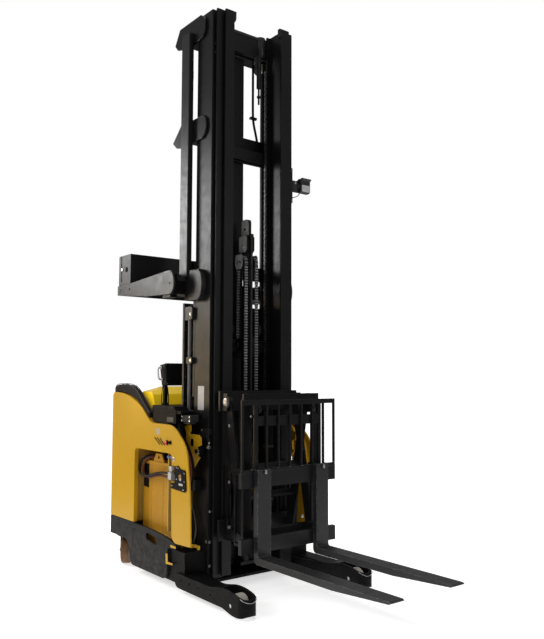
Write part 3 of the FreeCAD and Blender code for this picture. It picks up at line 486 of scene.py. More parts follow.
# ---------------------------------------------------------------------------
# CAD nodes: finish and softened edges
# ---------------------------------------------------------------------------
FINISH = {
    "rear_deck": ("mast_black", 1.0), "battery_compartment": ("inner_paint_shaded", 1.5), "battery": ("battery_case", 4.0),
    "battery_lugs": ("battery_case", 1.2), "base_legs": ("leg_black", 3.5), "base_frame": ("leg_black", 1.5),
    "load_wheel_axles": ("axle_steel", 1.0), "side_panels": ("body_paint", 4.0), "battery_gates": ("dark_grey", 3.0),
    "rear_skirt": ("dark_grey", 3.0), "operator_floor": ("floor_mat", 1.5), "side_pad": ("pad_vinyl", 4.0),
    "drive_hood": ("body_paint", 1.5), "front_cowl": ("gloss_cover", 1.5), "console": ("black_plastic", 6.0),
    "display_terminal": ("black_plastic", 2.5), "outer_mast": ("mast_black", 2.0), "mast_crossbeams": ("mast_black", 2.0),
    "lift_cylinders": ("mast_black", 1.0), "mast_brackets": ("mast_black", 3.0), "mast_stays": ("mast_satin", 1.5),
    "guard_arms": ("mast_satin", 1.5), "guard_crossbeam": ("mast_black", 2.0), "guard_bars": ("mast_black", 1.5),
    "guard_header": ("mast_satin", 1.5), "mast_screen": ("mast_black", 1.5), "mast_ties": ("body_paint", 2.0),
    "work_light": ("lamp_metal", 1.0), "middle_mast": ("mast_black", 1.5), "middle_crossbeams": ("mast_black", 1.5),
    "lift_rods": ("rod_chrome", 1.0), "inner_mast": ("mast_black", 1.5), "inner_crossbeams": ("mast_black", 1.5),
    "free_lift_cylinder": ("mast_black", 1.0), "free_lift_head": ("mast_black", 1.5), "lift_carriage": ("mast_black", 1.5),
    "reach_arms_outer": ("mast_black", 2.0), "reach_arms_inner": ("mast_black", 2.0), "reach_frame": ("mast_black", 2.0),
    "fork_carriage": ("mast_black", 2.0), "backrest_rails": ("mast_black", 1.5), "backrest_bars": ("mast_black", 1.5),
    "forks": ("fork_steel", 3.0), "load_wheel_right": ("load_tread", 1.0), "load_wheel_left": ("load_tread", 1.0),
    "caster_fork": ("mast_black", 1.0), "caster_wheel": ("caster_tread", 1.0), "drive_unit": ("hub_grey", 2.0),
    "drive_wheel": ("drive_tread", 1.0), "steering_tiller": ("black_plastic", 1.0),
    "battery_cable_black": ("black_cable", 0.0), "battery_cable_red": ("red_cable", 0.0), "body_hose_black": ("black_cable", 0.0),
    "body_hose_red": ("red_cable", 0.0), "side_cable": ("black_cable", 0.0), "battery_connector": ("black_plastic", 1.0),
    "panel_buttons": ("red_plastic", 0.5), "screen_pane": ("tinted_sheet", 0.4), "hose_guard": ("mast_black", 0.3),
}
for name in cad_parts:
    o = bpy.data.objects.get(name)
    if o is None:
        continue
    mat, bev = FINISH.get(name, ("mast_black", 1.0))
    o.data.materials.clear()
    o.data.materials.append(MATS[mat])
    w = o.modifiers.new("weld", "WELD")
    w.merge_threshold = 1e-5
    b = o.modifiers.new("edge", "BEVEL")
    b.width = bev / 1000.0
    b.segments = 2
    b.limit_method = "ANGLE"
    b.angle_limit = math.radians(38)
    b.use_clamp_overlap = True
    b.miter_outer = "MITER_SHARP"
    n = o.modifiers.new("normals", "WEIGHTED_NORMAL")
    n.keep_sharp = False
    n.weight = 70

# ---------------------------------------------------------------------------
# cords: leads of the battery, hoses and a cable beside the mast
# ---------------------------------------------------------------------------
BLACK_LEAD = [(-567, -403, 806.2), (-589, -434, 811), (-613, -465, 805), (-641, -484, 784), (-664, -490, 750),
              (-672, -491, 710), (-650, -492, 676), (-590, -492, 668), (-526, -492, 680), (-466, -493, 694), (-405, -496, 709),
              (-345, -501, 719), (-290, -508, 725), (-240, -514, 728), (-198, -517, 729)]
RED_LEAD = [(-532, -403, 800.5), (-554, -431, 804), (-580, -456, 800), (-609, -469, 783), (-638, -471, 755),
            (-649, -470, 716), (-640, -470, 682), (-596, -471, 663), (-532, -472, 668), (-475, -474, 682), (-415, -478, 692),
            (-355, -487, 699), (-302, -499, 702), (-250, -511, 703), (-198, -517, 705)]
BLACK_HOSE = [(-204, -427, 1052), (-200, -427, 1006), (-170, -428, 958), (-124, -429, 912), (-83, -430, 862), (-55, -430, 804),
              (-45, -430, 742), (-60, -430, 682), (-88, -430, 626), (-113, -429, 566), (-128, -428, 504), (-130, -427, 444),
              (-124, -426, 384), (-120, -425, 316), (-122, -425, 250)]
RED_HOSE = [(-194, -452, 1052), (-190, -452, 1006), (-164, -453, 958), (-114, -456, 912), (-73, -457, 864), (-42, -458, 810),
            (-30, -458, 748), (-42, -458, 688), (-72, -457, 632), (-104, -454, 576), (-132, -450, 518), (-146, -448, 456),
            (-147, -447, 392), (-145, -446, 320), (-148, -446, 250)]
SIDE_CABLE = [(-164, -372, 620), (-163, -373, 570), (-147, -373, 508), (-118, -374, 458), (-100, -374, 404), (-99, -374, 348),
              (-117, -374, 298), (-138, -372, 250)]
for nm, node, pts, rad, mat, slot, far, stiff, length in (
        ("lead_black", "battery_cable_black", BLACK_LEAD, 8.5, "black_cable", "black_cable", "object", "limp", 0.709),
        ("lead_red", "battery_cable_red", RED_LEAD, 8.5, "red_cable", "red_cable", "object", "limp", 0.681),
        ("hose_black", "body_hose_black", BLACK_HOSE, 9.0, "black_cable", "black_cable", "object", "medium", 0.853),
        ("hose_red", "body_hose_red", RED_HOSE, 9.0, "red_hose", "red_cable", "object", "medium", 0.868),
        ("cable_side", "side_cable", SIDE_CABLE, 4.5, "tube_grey", "black_cable", "object", "medium", 0.389)):
    o = nurbs(nm, pts, rad, "root", mat)
    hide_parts(node)

nurbs("hose_sleeve", [(-194, -452, 1050), (-190, -452, 1006), (-176, -452.5, 982), (-158, -453.5, 951)], 11.5, "root", "rubber", 6)

# ---------------------------------------------------------------------------
# padded backrest on the side panel
# ---------------------------------------------------------------------------


def eval_mesh(o):
    dg = bpy.context.evaluated_depsgraph_get()
    return bpy.data.meshes.new_from_object(o.evaluated_get(dg))


def make_pad():
    src = bpy.data.objects["side_pad"]
    me = src.data.copy()
    me.materials.clear()
    o = bpy.data.objects.new("backrest_pad", me)
    bpy.context.scene.collection.objects.link(o)
    w = o.modifiers.new("w", "WELD")
    w.merge_threshold = 1e-5
    rm = o.modifiers.new("r", "REMESH")
    rm.mode = "VOXEL"
    rm.voxel_size = 0.006
    m2 = eval_mesh(o)
    o.modifiers.clear()
    o.data = m2
    bm = bmesh.new()
    bm.from_mesh(m2)
    for i in range(3):
        bmesh.ops.smooth_vert(bm, verts=bm.verts, factor=0.5, use_axis_x=True, use_axis_y=True, use_axis_z=True)
    bm.normal_update()
    for v in bm.verts:
        v.co -= v.normal * 0.0035
        v.co.y = -0.5155 + (v.co.y + 0.5155) * 0.74
    bm.to_mesh(m2)
    bm.free()
    rest = [v.co.copy() for v in m2.vertices]
    c = o.modifiers.new("c", "CLOTH")
    c.settings.quality = 6
    c.settings.mass = 0.3
    c.settings.use_pressure = True
    c.settings.uniform_pressure_force = 4.0
    c.settings.effector_weights.gravity = 0.0
    c.settings.tension_stiffness = 12.0
    c.settings.compression_stiffness = 12.0
    c.settings.bending_stiffness = 0.6
    sc = bpy.context.scene
    for f in range(1, 21):
        sc.frame_set(f)
    m3 = eval_mesh(o)
    o.modifiers.clear()
    sc.frame_set(1)
    for v, a, b in zip(m2.vertices, rest, m3.vertices):
        d = b.co - a
        if d.length > 0.0055:
            d = d.normalized() * 0.0055
        v.co = a + d
    bpy.data.meshes.remove(m3)
    # stay inside the space of the plain pad
    lo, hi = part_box("side_pad")
    for v in m2.vertices:
        v.co = Vector([min(max(v.co[i], lo[i] + 0.0005), hi[i] - 0.0005) for i in range(3)])
    m2.update()
    sd = o.modifiers.new("s", "SUBSURF")
    sd.levels = 1
    sd.render_levels = 1
    m4 = eval_mesh(o)
    o.modifiers.clear()
    o.data = m4
    m4.materials.clear()
    m4.materials.append(MATS["pad_vinyl"])
    m4.polygons.foreach_set("use_smooth", [True] * len(m4.polygons))
    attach(o, "root")
    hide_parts("side_pad")
    return o


make_pad()
TOPLINE = [(-1034, 1262), (-1018, 1295), (-960, 1308), (-901, 1310), (-818, 1306), (-748, 1294), (-695, 1269),
           (-635, 1224), (-566, 1168), (-520, 1134), (-493, 1114)]
nurbs("pad_piping_outer", [(x, -514.5, z) for x, z in TOPLINE], 2.2, "root", "seam_thread", 2)
nurbs("pad_piping_inner", [(x, -480.0, z) for x, z in TOPLINE], 2.2, "root", "seam_thread", 2)

# ---------------------------------------------------------------------------
# leaf chains
# ---------------------------------------------------------------------------
PITCH = 19.05
LINK = [(-3.4, -5.6), (3.4, -5.6), (6.0, -2.4), (6.0, 2.6), (4.1, 9.5), (6.0, 16.4), (6.0, 21.4), (3.4, 24.6),
        (-3.4, 24.6), (-6.0, 21.4), (-6.0, 16.4), (-4.1, 9.5), (-6.0, 2.6), (-6.0, -2.4)]


def chain(name, body, at, y0, y1, z0, z1, plates=7, mat="chain_steel", arc=None):
    """Leaf chain along +Z at x = at; arc adds a half turn over a sheave (centre x, z, radius) and the far strand."""
    bm = bmesh.new()
    n = int((z1 - z0) / PITCH)
    w = (y1 - y0) / plates
    stations = [((at, z0 + k * PITCH), (0.0, 1.0)) for k in range(n + 1)]
    if arc:
        cx, cz, rr, zend = arc
        m = max(4, int(math.pi * rr / PITCH))
        side = 1.0 if at > cx else -1.0
        for k in range(1, m):
            a = math.pi * k / m
            stations.append(((cx + side * rr * math.cos(a), cz + rr * math.sin(a)), (-side * math.sin(a), math.cos(a))))
        x2 = cx - side * rr
        k = 0
        while cz - k * PITCH > zend:
            stations.append(((x2, cz - k * PITCH), (0.0, -1.0)))
            k += 1
    for k in range(len(stations) - 1):
        (ax, az), _ = stations[k]
        (bx, bz), _ = stations[k + 1]
        dx, dz = bx - ax, bz - az
        ln = math.hypot(dx, dz)
        if ln < 1.0:
            continue
        dx, dz = dx / ln, dz / ln
        sc = ln / PITCH
        for i in range(k % 2, plates, 2):
            ya = y0 + i * w + 0.2
            yb = ya + w - 0.4
            lo, hi = [], []
            for u, t in LINK:
                t = t * sc
                x, z = ax + dz * u + dx * t, az - dx * u + dz * t
                lo.append(bm.verts.new(P(x, ya, z)))
                hi.append(bm.verts.new(P(x, yb, z)))
            bm.faces.new(lo)
            bm.faces.new(list(reversed(hi)))
            q = len(LINK)
            for j in range(q):
                f = bm.faces.new((lo[j], hi[j], hi[(j + 1) % q], lo[(j + 1) % q]))
                # link-plate waists take the second material, black: painted shade between the pins
                if 4.0 < (LINK[j][1] + LINK[(j + 1) % q][1]) / 2.0 < 15.0:
                    f.material_index = 1
        lathe(bm, (ax, y0 - 1.2, az), (0, 1, 0), [(0, 3.4), (y1 - y0 + 2.4, 3.4)], 8)
    o = finish(name, bm, body, mat, smooth=False)
    o.data.materials.append(MATS["opening_shade_black"])
    return o


SHX, SHZ = -60.0, 2150.0
for sg, nm in ((-1, "right"), (1, "left")):
    ya, yb = sorted((sg * 33.0, sg * 57.0))
    front = chain("lift_chain_front_" + nm, "lift_head", -14.0, ya, yb, 440.0, SHZ - 2)
    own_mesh(front)
    chain("lift_chain_rear_" + nm, "lift_head", -14.0, ya, yb, SHZ, SHZ + 1, arc=(SHX, SHZ, 46.0, 1625.0))
chain("hose_chain_inner_mast", "mast_inner", -114.0, 188.0, 206.0, 260.0, 3600.0, plates=4, mat="hub_grey")

# ---------------------------------------------------------------------------
# right and left side of the chassis
# ---------------------------------------------------------------------------
YF = -522.0                                 # outer face of the right panel


# black plates for slots: painted shade of the openings
def slot_hole(name, spots, body, mat="opening_shade_black", t=0.7):
    bm = bmesh.new()
    for pts, y in spots:
        plate(bm, pts, y - t, y + 0.3)
    return finish(name, bm, body, mat, smooth=False)


# louvres pressed in the panel: a black slit, painted shade of the opening, with a lip over it
for sg, nm in ((1, "right"), (-1, "left")):
    bm = bmesh.new()
    lip = bmesh.new()
    for (ax, az), (bx, bz) in (((-396, 951), (-330, 911)), ((-359, 951), (-294, 910)), ((-320, 949), (-264, 911))):
        dx, dz = bx - ax, bz - az
        ln = math.hypot(dx, dz)
        nx, nz = -dz / ln, dx / ln
        y = sg * YF
        a, b = (y - 0.9, y + 0.3) if sg > 0 else (y - 0.3, y + 0.9)
        plate(bm, stadium(ax, az, bx, bz, 5.0, 5), a, b)
        c, d = (y - 1.4, y + 0.3) if sg > 0 else (y - 0.3, y + 1.4)
        plate(lip, stadium(ax + nx * 7.4, az + nz * 7.4, bx + nx * 7.4, bz + nz * 7.4, 2.6, 5), c, d)
    finish("louvre_slits_" + nm, bm, "root", "opening_shade_black", smooth=False)
    finish("louvre_lips_" + nm, lip, "root", "body_paint", bevel=1.0)
    # emergency button and key switch
    bt = bmesh.new()
    ax = (0, -sg, 0)
    y = sg * YF
    lathe(bt, (-229, y, 928), ax, [(5, 8), (9.0, 8), (9.0, 13), (10.3, 14.2), (13, 14.2), (14.8, 12.5), (15.3, 9), (15.5, 0.5)], 28)
    o = finish("stop_button_" + nm, bt, "root", "red_plastic", angle=40)
    if sg > 0:
        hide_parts("panel_buttons")
    bt = bmesh.new()
    lathe(bt, (-229, y, 928), ax, [(-0.5, 17), (3.5, 17), (4.5, 16), (4.5, 11), (6, 10), (6, 4)], 28)
    lathe(bt, (-184, y, 931), ax, [(-0.5, 13), (3, 13), (4, 12), (4, 9.5), (11, 9), (12, 8), (12, 2)], 24)
    finish("switch_collars_" + nm, bt, "root", "black_plastic", angle=40)
    bt = bmesh.new()
    yy = sorted((y - sg * 12.0, y - sg * 15.5))
    plate(bt, rounded(-187, -181, 921, 941, 2), yy[0], yy[1])
    finish("key_bow_" + nm, bt, "root", "black_plastic", bevel=0.8)

# blank plates on the panel and the tag on the connector plate
bm = bmesh.new()
plate(bm, rounded(-381, -328, 974, 1016, 5), YF - 0.6, YF + 0.3)
finish("panel_plate_blank", bm, "root", "dull_plate", bevel=0.3)

# connector plate, two half connectors and what sits on the plate
bm = bmesh.new()
PL = [(-116, 778), (-110, 786), (-76, 792), (-53, 774), (4, 771), (13, 764), (25, 656), (20, 640), (8, 633), (-158, 641), (-165, 648), (-165, 670), (-160, 677), (-116, 677)]
plate(bm, PL, YF - 7, YF)
o = finish("connector_plate", bm, "root", "black_plastic", bevel=1.6)
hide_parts("battery_connector")
bm = bmesh.new()
plate(bm, rounded(-197, -155, 694, 741, 7), -533, -501)
plate(bm, rounded(-190, -156, 745, 780, 6), -529, -505)
for z in (699, 708, 717, 726, 735):
    plate(bm, rounded(-198, -176, z, z + 4, 1.5, 3), -534, -500)
finish("connector_battery_half", bm, "root", "pale_plastic", bevel=2.0)
bm = bmesh.new()
plate(bm, rounded(-151, -118, 690, 743, 6), -533, -501)
plate(bm, rounded(-126, -104, 699, 735, 4), -533.6, -523)
for z in (696, 712, 728):
    plate(bm, rounded(-148, -120, z, z + 5, 1.5, 3), -534, -500.5)
finish("connector_truck_half", bm, "root", "grey_plastic", bevel=1.6)
bolts("connector_plate_bolts", [((x, YF - 7, z), (0, -1, 0), r) for x, z, r in
      ((-94, 780, 4.0), (-70, 779, 4.0), (2, 752, 4.0), (-92, 706, 4.2), (-146, 660, 4.2), (-6, 648, 4.5), (4, 700, 3.4))], "root", "zinc", "button")
bm = bmesh.new()
lathe(bm, (-43, YF - 7, 722), (0, -1, 0), [(-0.5, 17), (4, 17), (5, 15.5), (5, 11), (3.5, 10), (3.5, 6), (4.5, 5), (4.8, 0.5)], 28)
finish("buzzer", bm, "root", "brass", angle=40)
bm = bmesh.new()
lathe(bm, (-38, YF - 11, 710), (0, -1, 0), [(-0.5, 9), (0.8, 8.6), (1.0, 0.5)], 20)
plate(bm, rounded(-62, -16, 671, 684, 2), YF - 7.7, YF - 6.8)
finish("buzzer_tag_blank", bm, "root", "pale_plate", angle=40)
# ring and blue plugs above the connector
bm = bmesh.new()
lathe(bm, (-143, YF, 828), (0, -1, 0), [(-0.5, 14), (3, 14), (4, 12.5), (4, 7.5), (2, 7), (2, 0.5)], 26)
finish("cable_ring", bm, "root", "zinc", angle=40)
bm = bmesh.new()
lathe(bm, (-143, YF - 2, 828), (0, -1, 0), [(-0.5, 6.5), (3.4, 6), (4.2, 4.5), (4.4, 0.5)], 18)
plate(bm, rounded(-268, -232, 822, 838, 4), -500, -480)
plate(bm, rounded(-226, -204, 824, 840, 4), -500, -482)
finish("blue_plugs", bm, "root", "blue_plastic", bevel=0.8)

# terminal block on the battery with its two lugs
bm = bmesh.new()
plate(bm, rounded(-584, -508, 775, 822, 6), -380, -331)
lathe(bm, (-567, -403, 806.2), (22, 31, -4.8), [(-2, 11), (6, 12), (34, 13)], 20)
lathe(bm, (-532, -403, 800.5), (22, 28, -3.5), [(-2, 11), (6, 12), (34, 13)], 20)
finish("battery_terminal_boots", bm, "root", "rubber", bevel=1.5)

# battery side: folded seam, a black plate painting the shade in the corner, and a welded rim
bm = bmesh.new()
plate(bm, [(-672, 590), (-600, 586), (-600, 768), (-672, 768)], -452.5, -450)
finish("battery_corner_shade_plate", bm, "root", "opening_shade_black", bevel=0.6)
for sg in (-1, 1):
    bm = bmesh.new()
    ya, yb = sorted((sg * 450.0, sg * 455.0))
    plate(bm, rounded(-678, -284, 752, 775, 3), ya, yb)
    plate(bm, rounded(-678, -284, 100, 128, 3), ya, yb)
    for x in (-560, -400):
        plate(bm, rounded(x - 1.5, x + 1.5, 128, 752, 1, 2), *sorted((sg * 450.0, sg * 451.2)))
    finish("battery_rims_" + ("right" if sg < 0 else "left"), bm, "root", "battery_case", bevel=1.2)
    bm = bmesh.new()
    for x in (-545, -395):
        lathe(bm, (x, sg * 449.0, 789), (1, 0, 0), [(-1, 3.0), (150 if x < -500 else 1, 3.0)], 8)
# vent caps and straps between the cells
caps = bmesh.new()
straps = bmesh.new()
for i in range(6):
    for j in range(4):
        x = -640 + i * 62
        y = -300 + j * 200
        if -600 < x < -490 and y < -200:
            continue
        lathe(caps, (x, y, 775), (0, 0, 1), [(-0.5, 15), (4, 15), (6, 13), (6, 9), (11, 8), (12, 6.5), (12, 0.5)], 18)
        if i < 5:
            quad_box(straps, x + 8, x + 54, y + 44, y + 62, 775, 781)
finish("cell_vent_caps", caps, "root", "black_plastic", angle=40)
finish("cell_straps", straps, "root", "brass", bevel=1.5)

# gates: seams, latch, tab and the finger slot's rim
for sg, nm in ((1, "right"), (-1, "left")):
    bm = bmesh.new()
    y = sg * YF
    a, b = (y - 1.2, y + 0.3) if sg > 0 else (y - 0.3, y + 1.2)
    plate(bm, [(-231, 213), (-204, 217), (-200, 166), (-140, 168), (-138, 156), (-224, 148)], a, b)
    plate(bm, stadium(-164, 272, -108, 272, 7, 6), a, b)
    finish("gate_latch_" + nm, bm, "root", "body_paint", bevel=0.6)
    bm = bmesh.new()
    hooks = [(-73, 262), (-73, 286), (-20, 293), (18, 293), (22, 280), (18, 266), (4, 262), (-4, 274), (-40, 272)]
    plate(bm, hooks, *sorted((sg * -424.0, sg * -416.0)))
    finish("gate_hook_" + nm, bm, "root", "body_paint", bevel=1.2)
    bolts("gate_bolts_" + nm, [((x, y, z), (0, -sg, 0), 5.0) for x, z in ((-672, 300), (-672, 110), (-640, 78), (-250, 290), (-245, 180))],
          "root", "black_plastic", "button")
    bolts("skirt_bolts_" + nm, [((x, y, z), (0, -sg, 0), 5.0) for x, z in ((-1030, 318), (-1030, 235), (-730, 318))],
          "root", "black_plastic", "button")
    bolts("leg_bolts_" + nm, [((x, y, z), (0, -sg, 0), 7.0) for x, z in ((60, 80), (-40, 80))], "root", "leg_black", "hex")
    nurbs("gate_rail_" + nm, [(-291, sg * -490, 118), (-240, sg * -492, 140), (-170, sg * -492, 146), (-120, sg * -488, 130), (-104, sg * -470, 104)],
          7.0, "root", "black_plastic")

# a bright steel bead along the top rim of each leg's nose: painted highlight on the rim
for sg, nm in ((-1, "right"), (1, "left")):
    nurbs("leg_rim_highlight_" + nm, [(603, sg * 519.5, 118.5), (624, sg * 515, 110), (634, sg * 500, 103), (637.5, sg * 476, 95), (637.5, sg * 450, 94), (634, sg * 430, 103),
                            (624, sg * 414, 110), (603, sg * 409.5, 118.5)], 1.7, "root", "axle_steel", 2)

# clevises and pins of the base, next to the mast foot
bm = bmesh.new()
for sg in (-1, 1):
    for x, z in ((-170, 183), (-103, 217), (-209, 92)):
        lathe(bm, (x, sg * 444.0, z), (0, sg, 0), [(-26, 9), (0, 9), (3, 12), (9, 12), (10, 10.5), (10, 1)], 20)
    lathe(bm, (-244, sg * 345.0, 196), (0, sg, 0), [(-2, 9), (4, 9), (5, 7.5), (5, 1)], 20)
finish("base_pins", bm, "root", "axle_steel", angle=40)
bolts("foot_bolts", [((0, sg * 330.0, z), (1, 0, 0), 8.0) for sg in (-1, 1) for z in (150, 301, 495)] +
      [((-21, sg * 345.0, 301), (0, sg, 0), 8.0) for sg in (-1, 1)], "root", "axle_steel", "hex")

# ---------------------------------------------------------------------------
# console, terminal and what stands beside the mast
# ---------------------------------------------------------------------------
bm = bmesh.new()
plate(bm, rounded(-288, -150, 1055, 1114, 5), -505, -499.5)
finish("console_module", bm, "root", "black_plastic", bevel=1.5)
bm = bmesh.new()
plate(bm, rounded(-262, -178, 1062, 1094, 4), -508, -504)
finish("console_module_door", bm, "root", "grey_plastic", bevel=1.0)
bm = bmesh.new()
plate(bm, rounded(-128, -12, 1069, 1112, 6), -478, -414)
plate(bm, rounded(-150, -126, 1075, 1106, 3), -470, -424)
plate(bm, rounded(-112, -30, 1056, 1070, 3), -470, -424)
finish("valve_block", bm, "root", "rubber", bevel=3.0)
bolts("valve_bolts", [((x, -478, z), (0, -1, 0), 4.5) for x, z in ((-118, 1078), (-118, 1103), (-24, 1078), (-24, 1103))] +
      [((-112, -404, 1132), (0, -1, 0), 6.0), ((-150, -404, 1093), (0, -1, 0), 6.0)], "root", "zinc", "hex")
bm = bmesh.new()
plate(bm, rounded(-300, -100, 1116, 1138, 6), -496, -402)
finish("console_shelf", bm, "root", "black_plastic", bevel=3.0)
bm = bmesh.new()
for sg in (-1, 1):
    plate(bm, rounded(-470, -176, 1150, 1160, 3), *sorted((sg * 503.0, sg * 499.0)))
finish("console_rim", bm, "root", "dark_grey", bevel=1.0)
# wiring block and pipe fittings between the panel and the tie
bm = bmesh.new()
plate(bm, rounded(-38, -14, 858, 908, 4), -404, -380)
lathe(bm, (-60, -346, 878), (0, -1, 0), [(0, 22), (40, 22), (44, 18), (58, 18), (60, 15), (60, 1)], 24)
finish("tie_block_fittings", bm, "root", "black_plastic", bevel=2.0)
bm = bmesh.new()
lathe(bm, (4, -346, 905), (0, -1, 0), [(0, 16), (10, 16), (12, 13), (12, 7), (9, 6), (9, 0.5)], 24)
lathe(bm, (-24, -404, 868), (0, -1, 0), [(0, 6), (5, 6), (6, 5), (6, 0.5)], 16)
lathe(bm, (-26, -404, 884), (0, -1, 0), [(0, 6), (5, 6), (6, 5), (6, 0.5)], 16)
finish("tie_block_screws", bm, "root", "zinc", angle=40)


def ring(bm, outer, inner, ya, yb):
    """closed band between two outlines of equal length, from y = ya to y = yb"""
    rows = [[bm.verts.new(P(a, y, b)) for a, b in o] for o, y in ((outer, ya), (inner, ya), (inner, yb), (outer, yb))]
    q = len(outer)
    for r in range(4):
        for j in range(q):
            k = (j + 1) % q
            bm.faces.new((rows[r][j], rows[r][k], rows[(r + 1) % 4][k], rows[(r + 1) % 4][j]))


# rim pressed around the ties' oval opening, and a black lining inside it
for sg in (-1, 1):
    bm = bmesh.new()
    y = sg * 405.0
    outer = stadium(-104, 923, -104, 941, 25, 10)
    inner = stadium(-104, 926, -104, 938, 20, 10)
    lo = [bm.verts.new(P(a, y, b)) for a, b in outer]
    hi = [bm.verts.new(P(a, y + sg * 2.2, b)) for a, b in inner]
    inn = [bm.verts.new(P(a, y, b)) for a, b in inner]
    q = len(outer)
    for j in range(q):
        bm.faces.new((lo[j], lo[(j + 1) % q], hi[(j + 1) % q], hi[j]))
        bm.faces.new((hi[j], hi[(j + 1) % q], inn[(j + 1) % q], inn[j]))
    finish("tie_rim_" + ("right" if sg < 0 else "left"), bm, "root", "body_paint", angle=40)
    # a black lining inside the oval hole: painted shade of the hole's wall
    bm = bmesh.new()
    ring(bm, stadium(-104, 926, -104, 938, 20.6, 10), stadium(-104, 926, -104, 938, 18.6, 10), sg * 406.6, sg * 392.6)
    finish("tie_hole_shade_" + ("right" if sg < 0 else "left"), bm, "root", "opening_shade_black", angle=40)
bm = bmesh.new()
plate(bm, [(-96, 990), (-80, 1004), (2, 1004), (8, 990), (8, 962), (22, 944), (22, 926), (8, 924), (-6, 940), (-20, 968), (-96, 972)], -353, -346)
quad_box(bm, 0, 8, -353, -326, 988, 1024)
plate(bm, rounded(-96, 4, 1000, 1024, 3), -352, -346)
finish("clamp_bracket", bm, "root", "mast_satin", bevel=1.5)
bolts("clamp_bolts", [((-72, -353, 1012), (0, -1, 0), 5.0), ((14, -353, 934), (0, -1, 0), 6.5)], "root", "zinc", "hex")

# display terminal: back cover with cooling ribs, bezel towards the operator, grab handle, cables
# the housing leans: its back face runs from (-428, 1455) to (-404, 1303)
bm = bmesh.new()
ux, uz = (24 / 153.9), (-152 / 153.9)
for k in range(7):
    t = 108 + k * 6.0
    x, z = -428 + ux * t, 1455 + uz * t
    quad_box(bm, x - 1.0, x + 2.2, -420, -236, z - 1.6, z + 1.6)
finish("terminal_ribs", bm, "root", "black_plastic", bevel=0.6)
bm = bmesh.new()
for yy in (-426, -230):
    for t in (10, 144):
        hexbolt(bm, (-428 + ux * t + 0.3, yy, 1455 + uz * t), (0.987, 0, 0.156), 3.6, 2.6, False)
finish("terminal_screws", bm, "root", "axle_steel", angle=30)
bm = bmesh.new()
x0, z0, x1, z1 = -508, 1442, -474, 1298
nx, nz = (z1 - z0), -(x1 - x0)
ln = math.hypot(nx, nz)
nx, nz = nx / ln, nz / ln          # points towards the operator


def tq(t, y, d):
    f0 = t / math.hypot(x1 - x0, z1 - z0)
    return P(x0 + (x1 - x0) * f0 + nx * d, y, z0 + (z1 - z0) * f0 + nz * d)


def ring_plate(bm, t0, t1, ya, yb, d0, d1, inset=0.0):
    pts = [(t0, ya), (t1, ya), (t1, yb), (t0, yb)]
    lo = [bm.verts.new(tq(t, y, d0)) for t, y in pts]
    hi = [bm.verts.new(tq(t + (inset if t == t0 else -inset), y + (inset if y == ya else -inset), d1)) for t, y in pts]
    bm.faces.new(lo)
    bm.faces.new(list(reversed(hi)))
    for j in range(4):
        bm.faces.new((lo[j], hi[j], hi[(j + 1) % 4], lo[(j + 1) % 4]))


ring_plate(bm, 4, 144, -430, -226, -0.5, 3.0, 2.0)
finish("terminal_bezel", bm, "root", "black_plastic", bevel=0.8)
bm = bmesh.new()
ring_plate(bm, 16, 124, -412, -262, 2.5, 3.4, 0.3)
finish("terminal_screen", bm, "root", "screen_glass", bevel=0.3)
bm = bmesh.new()
for k in range(5):
    ring_plate(bm, 18 + k * 21, 32 + k * 21, -252, -236, 2.5, 4.6, 1.0)
finish("terminal_keys", bm, "root", "grey_plastic", bevel=0.5)
nurbs("terminal_handle", [(-482, -434, 1424), (-482, -452, 1425), (-480, -461, 1414), (-474, -462, 1385), (-469, -461, 1352), (-467, -452, 1341), (-467, -434, 1342)],
      6.5, "root", "pale_plastic", 4)
bm = bmesh.new()
lathe(bm, (-482, -434, 1424), (0, -1, 0), [(-1, 10), (4, 10), (5, 8)], 20)
lathe(bm, (-467, -434, 1342), (0, -1, 0), [(-1, 10), (4, 10), (5, 8)], 20)
finish("terminal_handle_feet", bm, "root", "pale_plastic", angle=40)
nurbs("terminal_cable", [(-438, -410, 1300), (-436, -404, 1270), (-440, -398, 1235), (-434, -396, 1205), (-438, -398, 1166)], 4.0, "root", "black_cable")
nurbs("terminal_cable_thin", [(-478, -420, 1300), (-482, -424, 1268), (-478, -428, 1236), (-486, -426, 1200), (-482, -424, 1166)], 2.6, "root", "black_cable")
bm = bmesh.new()
lathe(bm, (-458, -412, 1164), (0, 0, 1), [(0, 30), (4, 30), (8, 24), (16, 20), (18, 17)], 28)
finish("terminal_foot", bm, "root", "black_plastic", angle=40)
# control handle at the operator's right hand, on the console's rear edge
bm = bmesh.new()
lathe(bm, (-520, -180, 1225), (-0.25, 0, 1), [(-40, 34), (-30, 34), (-18, 22), (-10, 12), (40, 10), (52, 18), (70, 22), (96, 22), (108, 17), (113, 8), (114, 0.5)], 28)
finish("control_handle", bm, "root", "black_plastic", angle=50)
bm = bmesh.new()
lathe(bm, (-548, -180, 1330), (-0.25, 0, 1), [(-3, 8), (3, 8), (5, 6), (5.5, 0.5)], 20)
finish("control_handle_button", bm, "root", "amber_strip", angle=50)

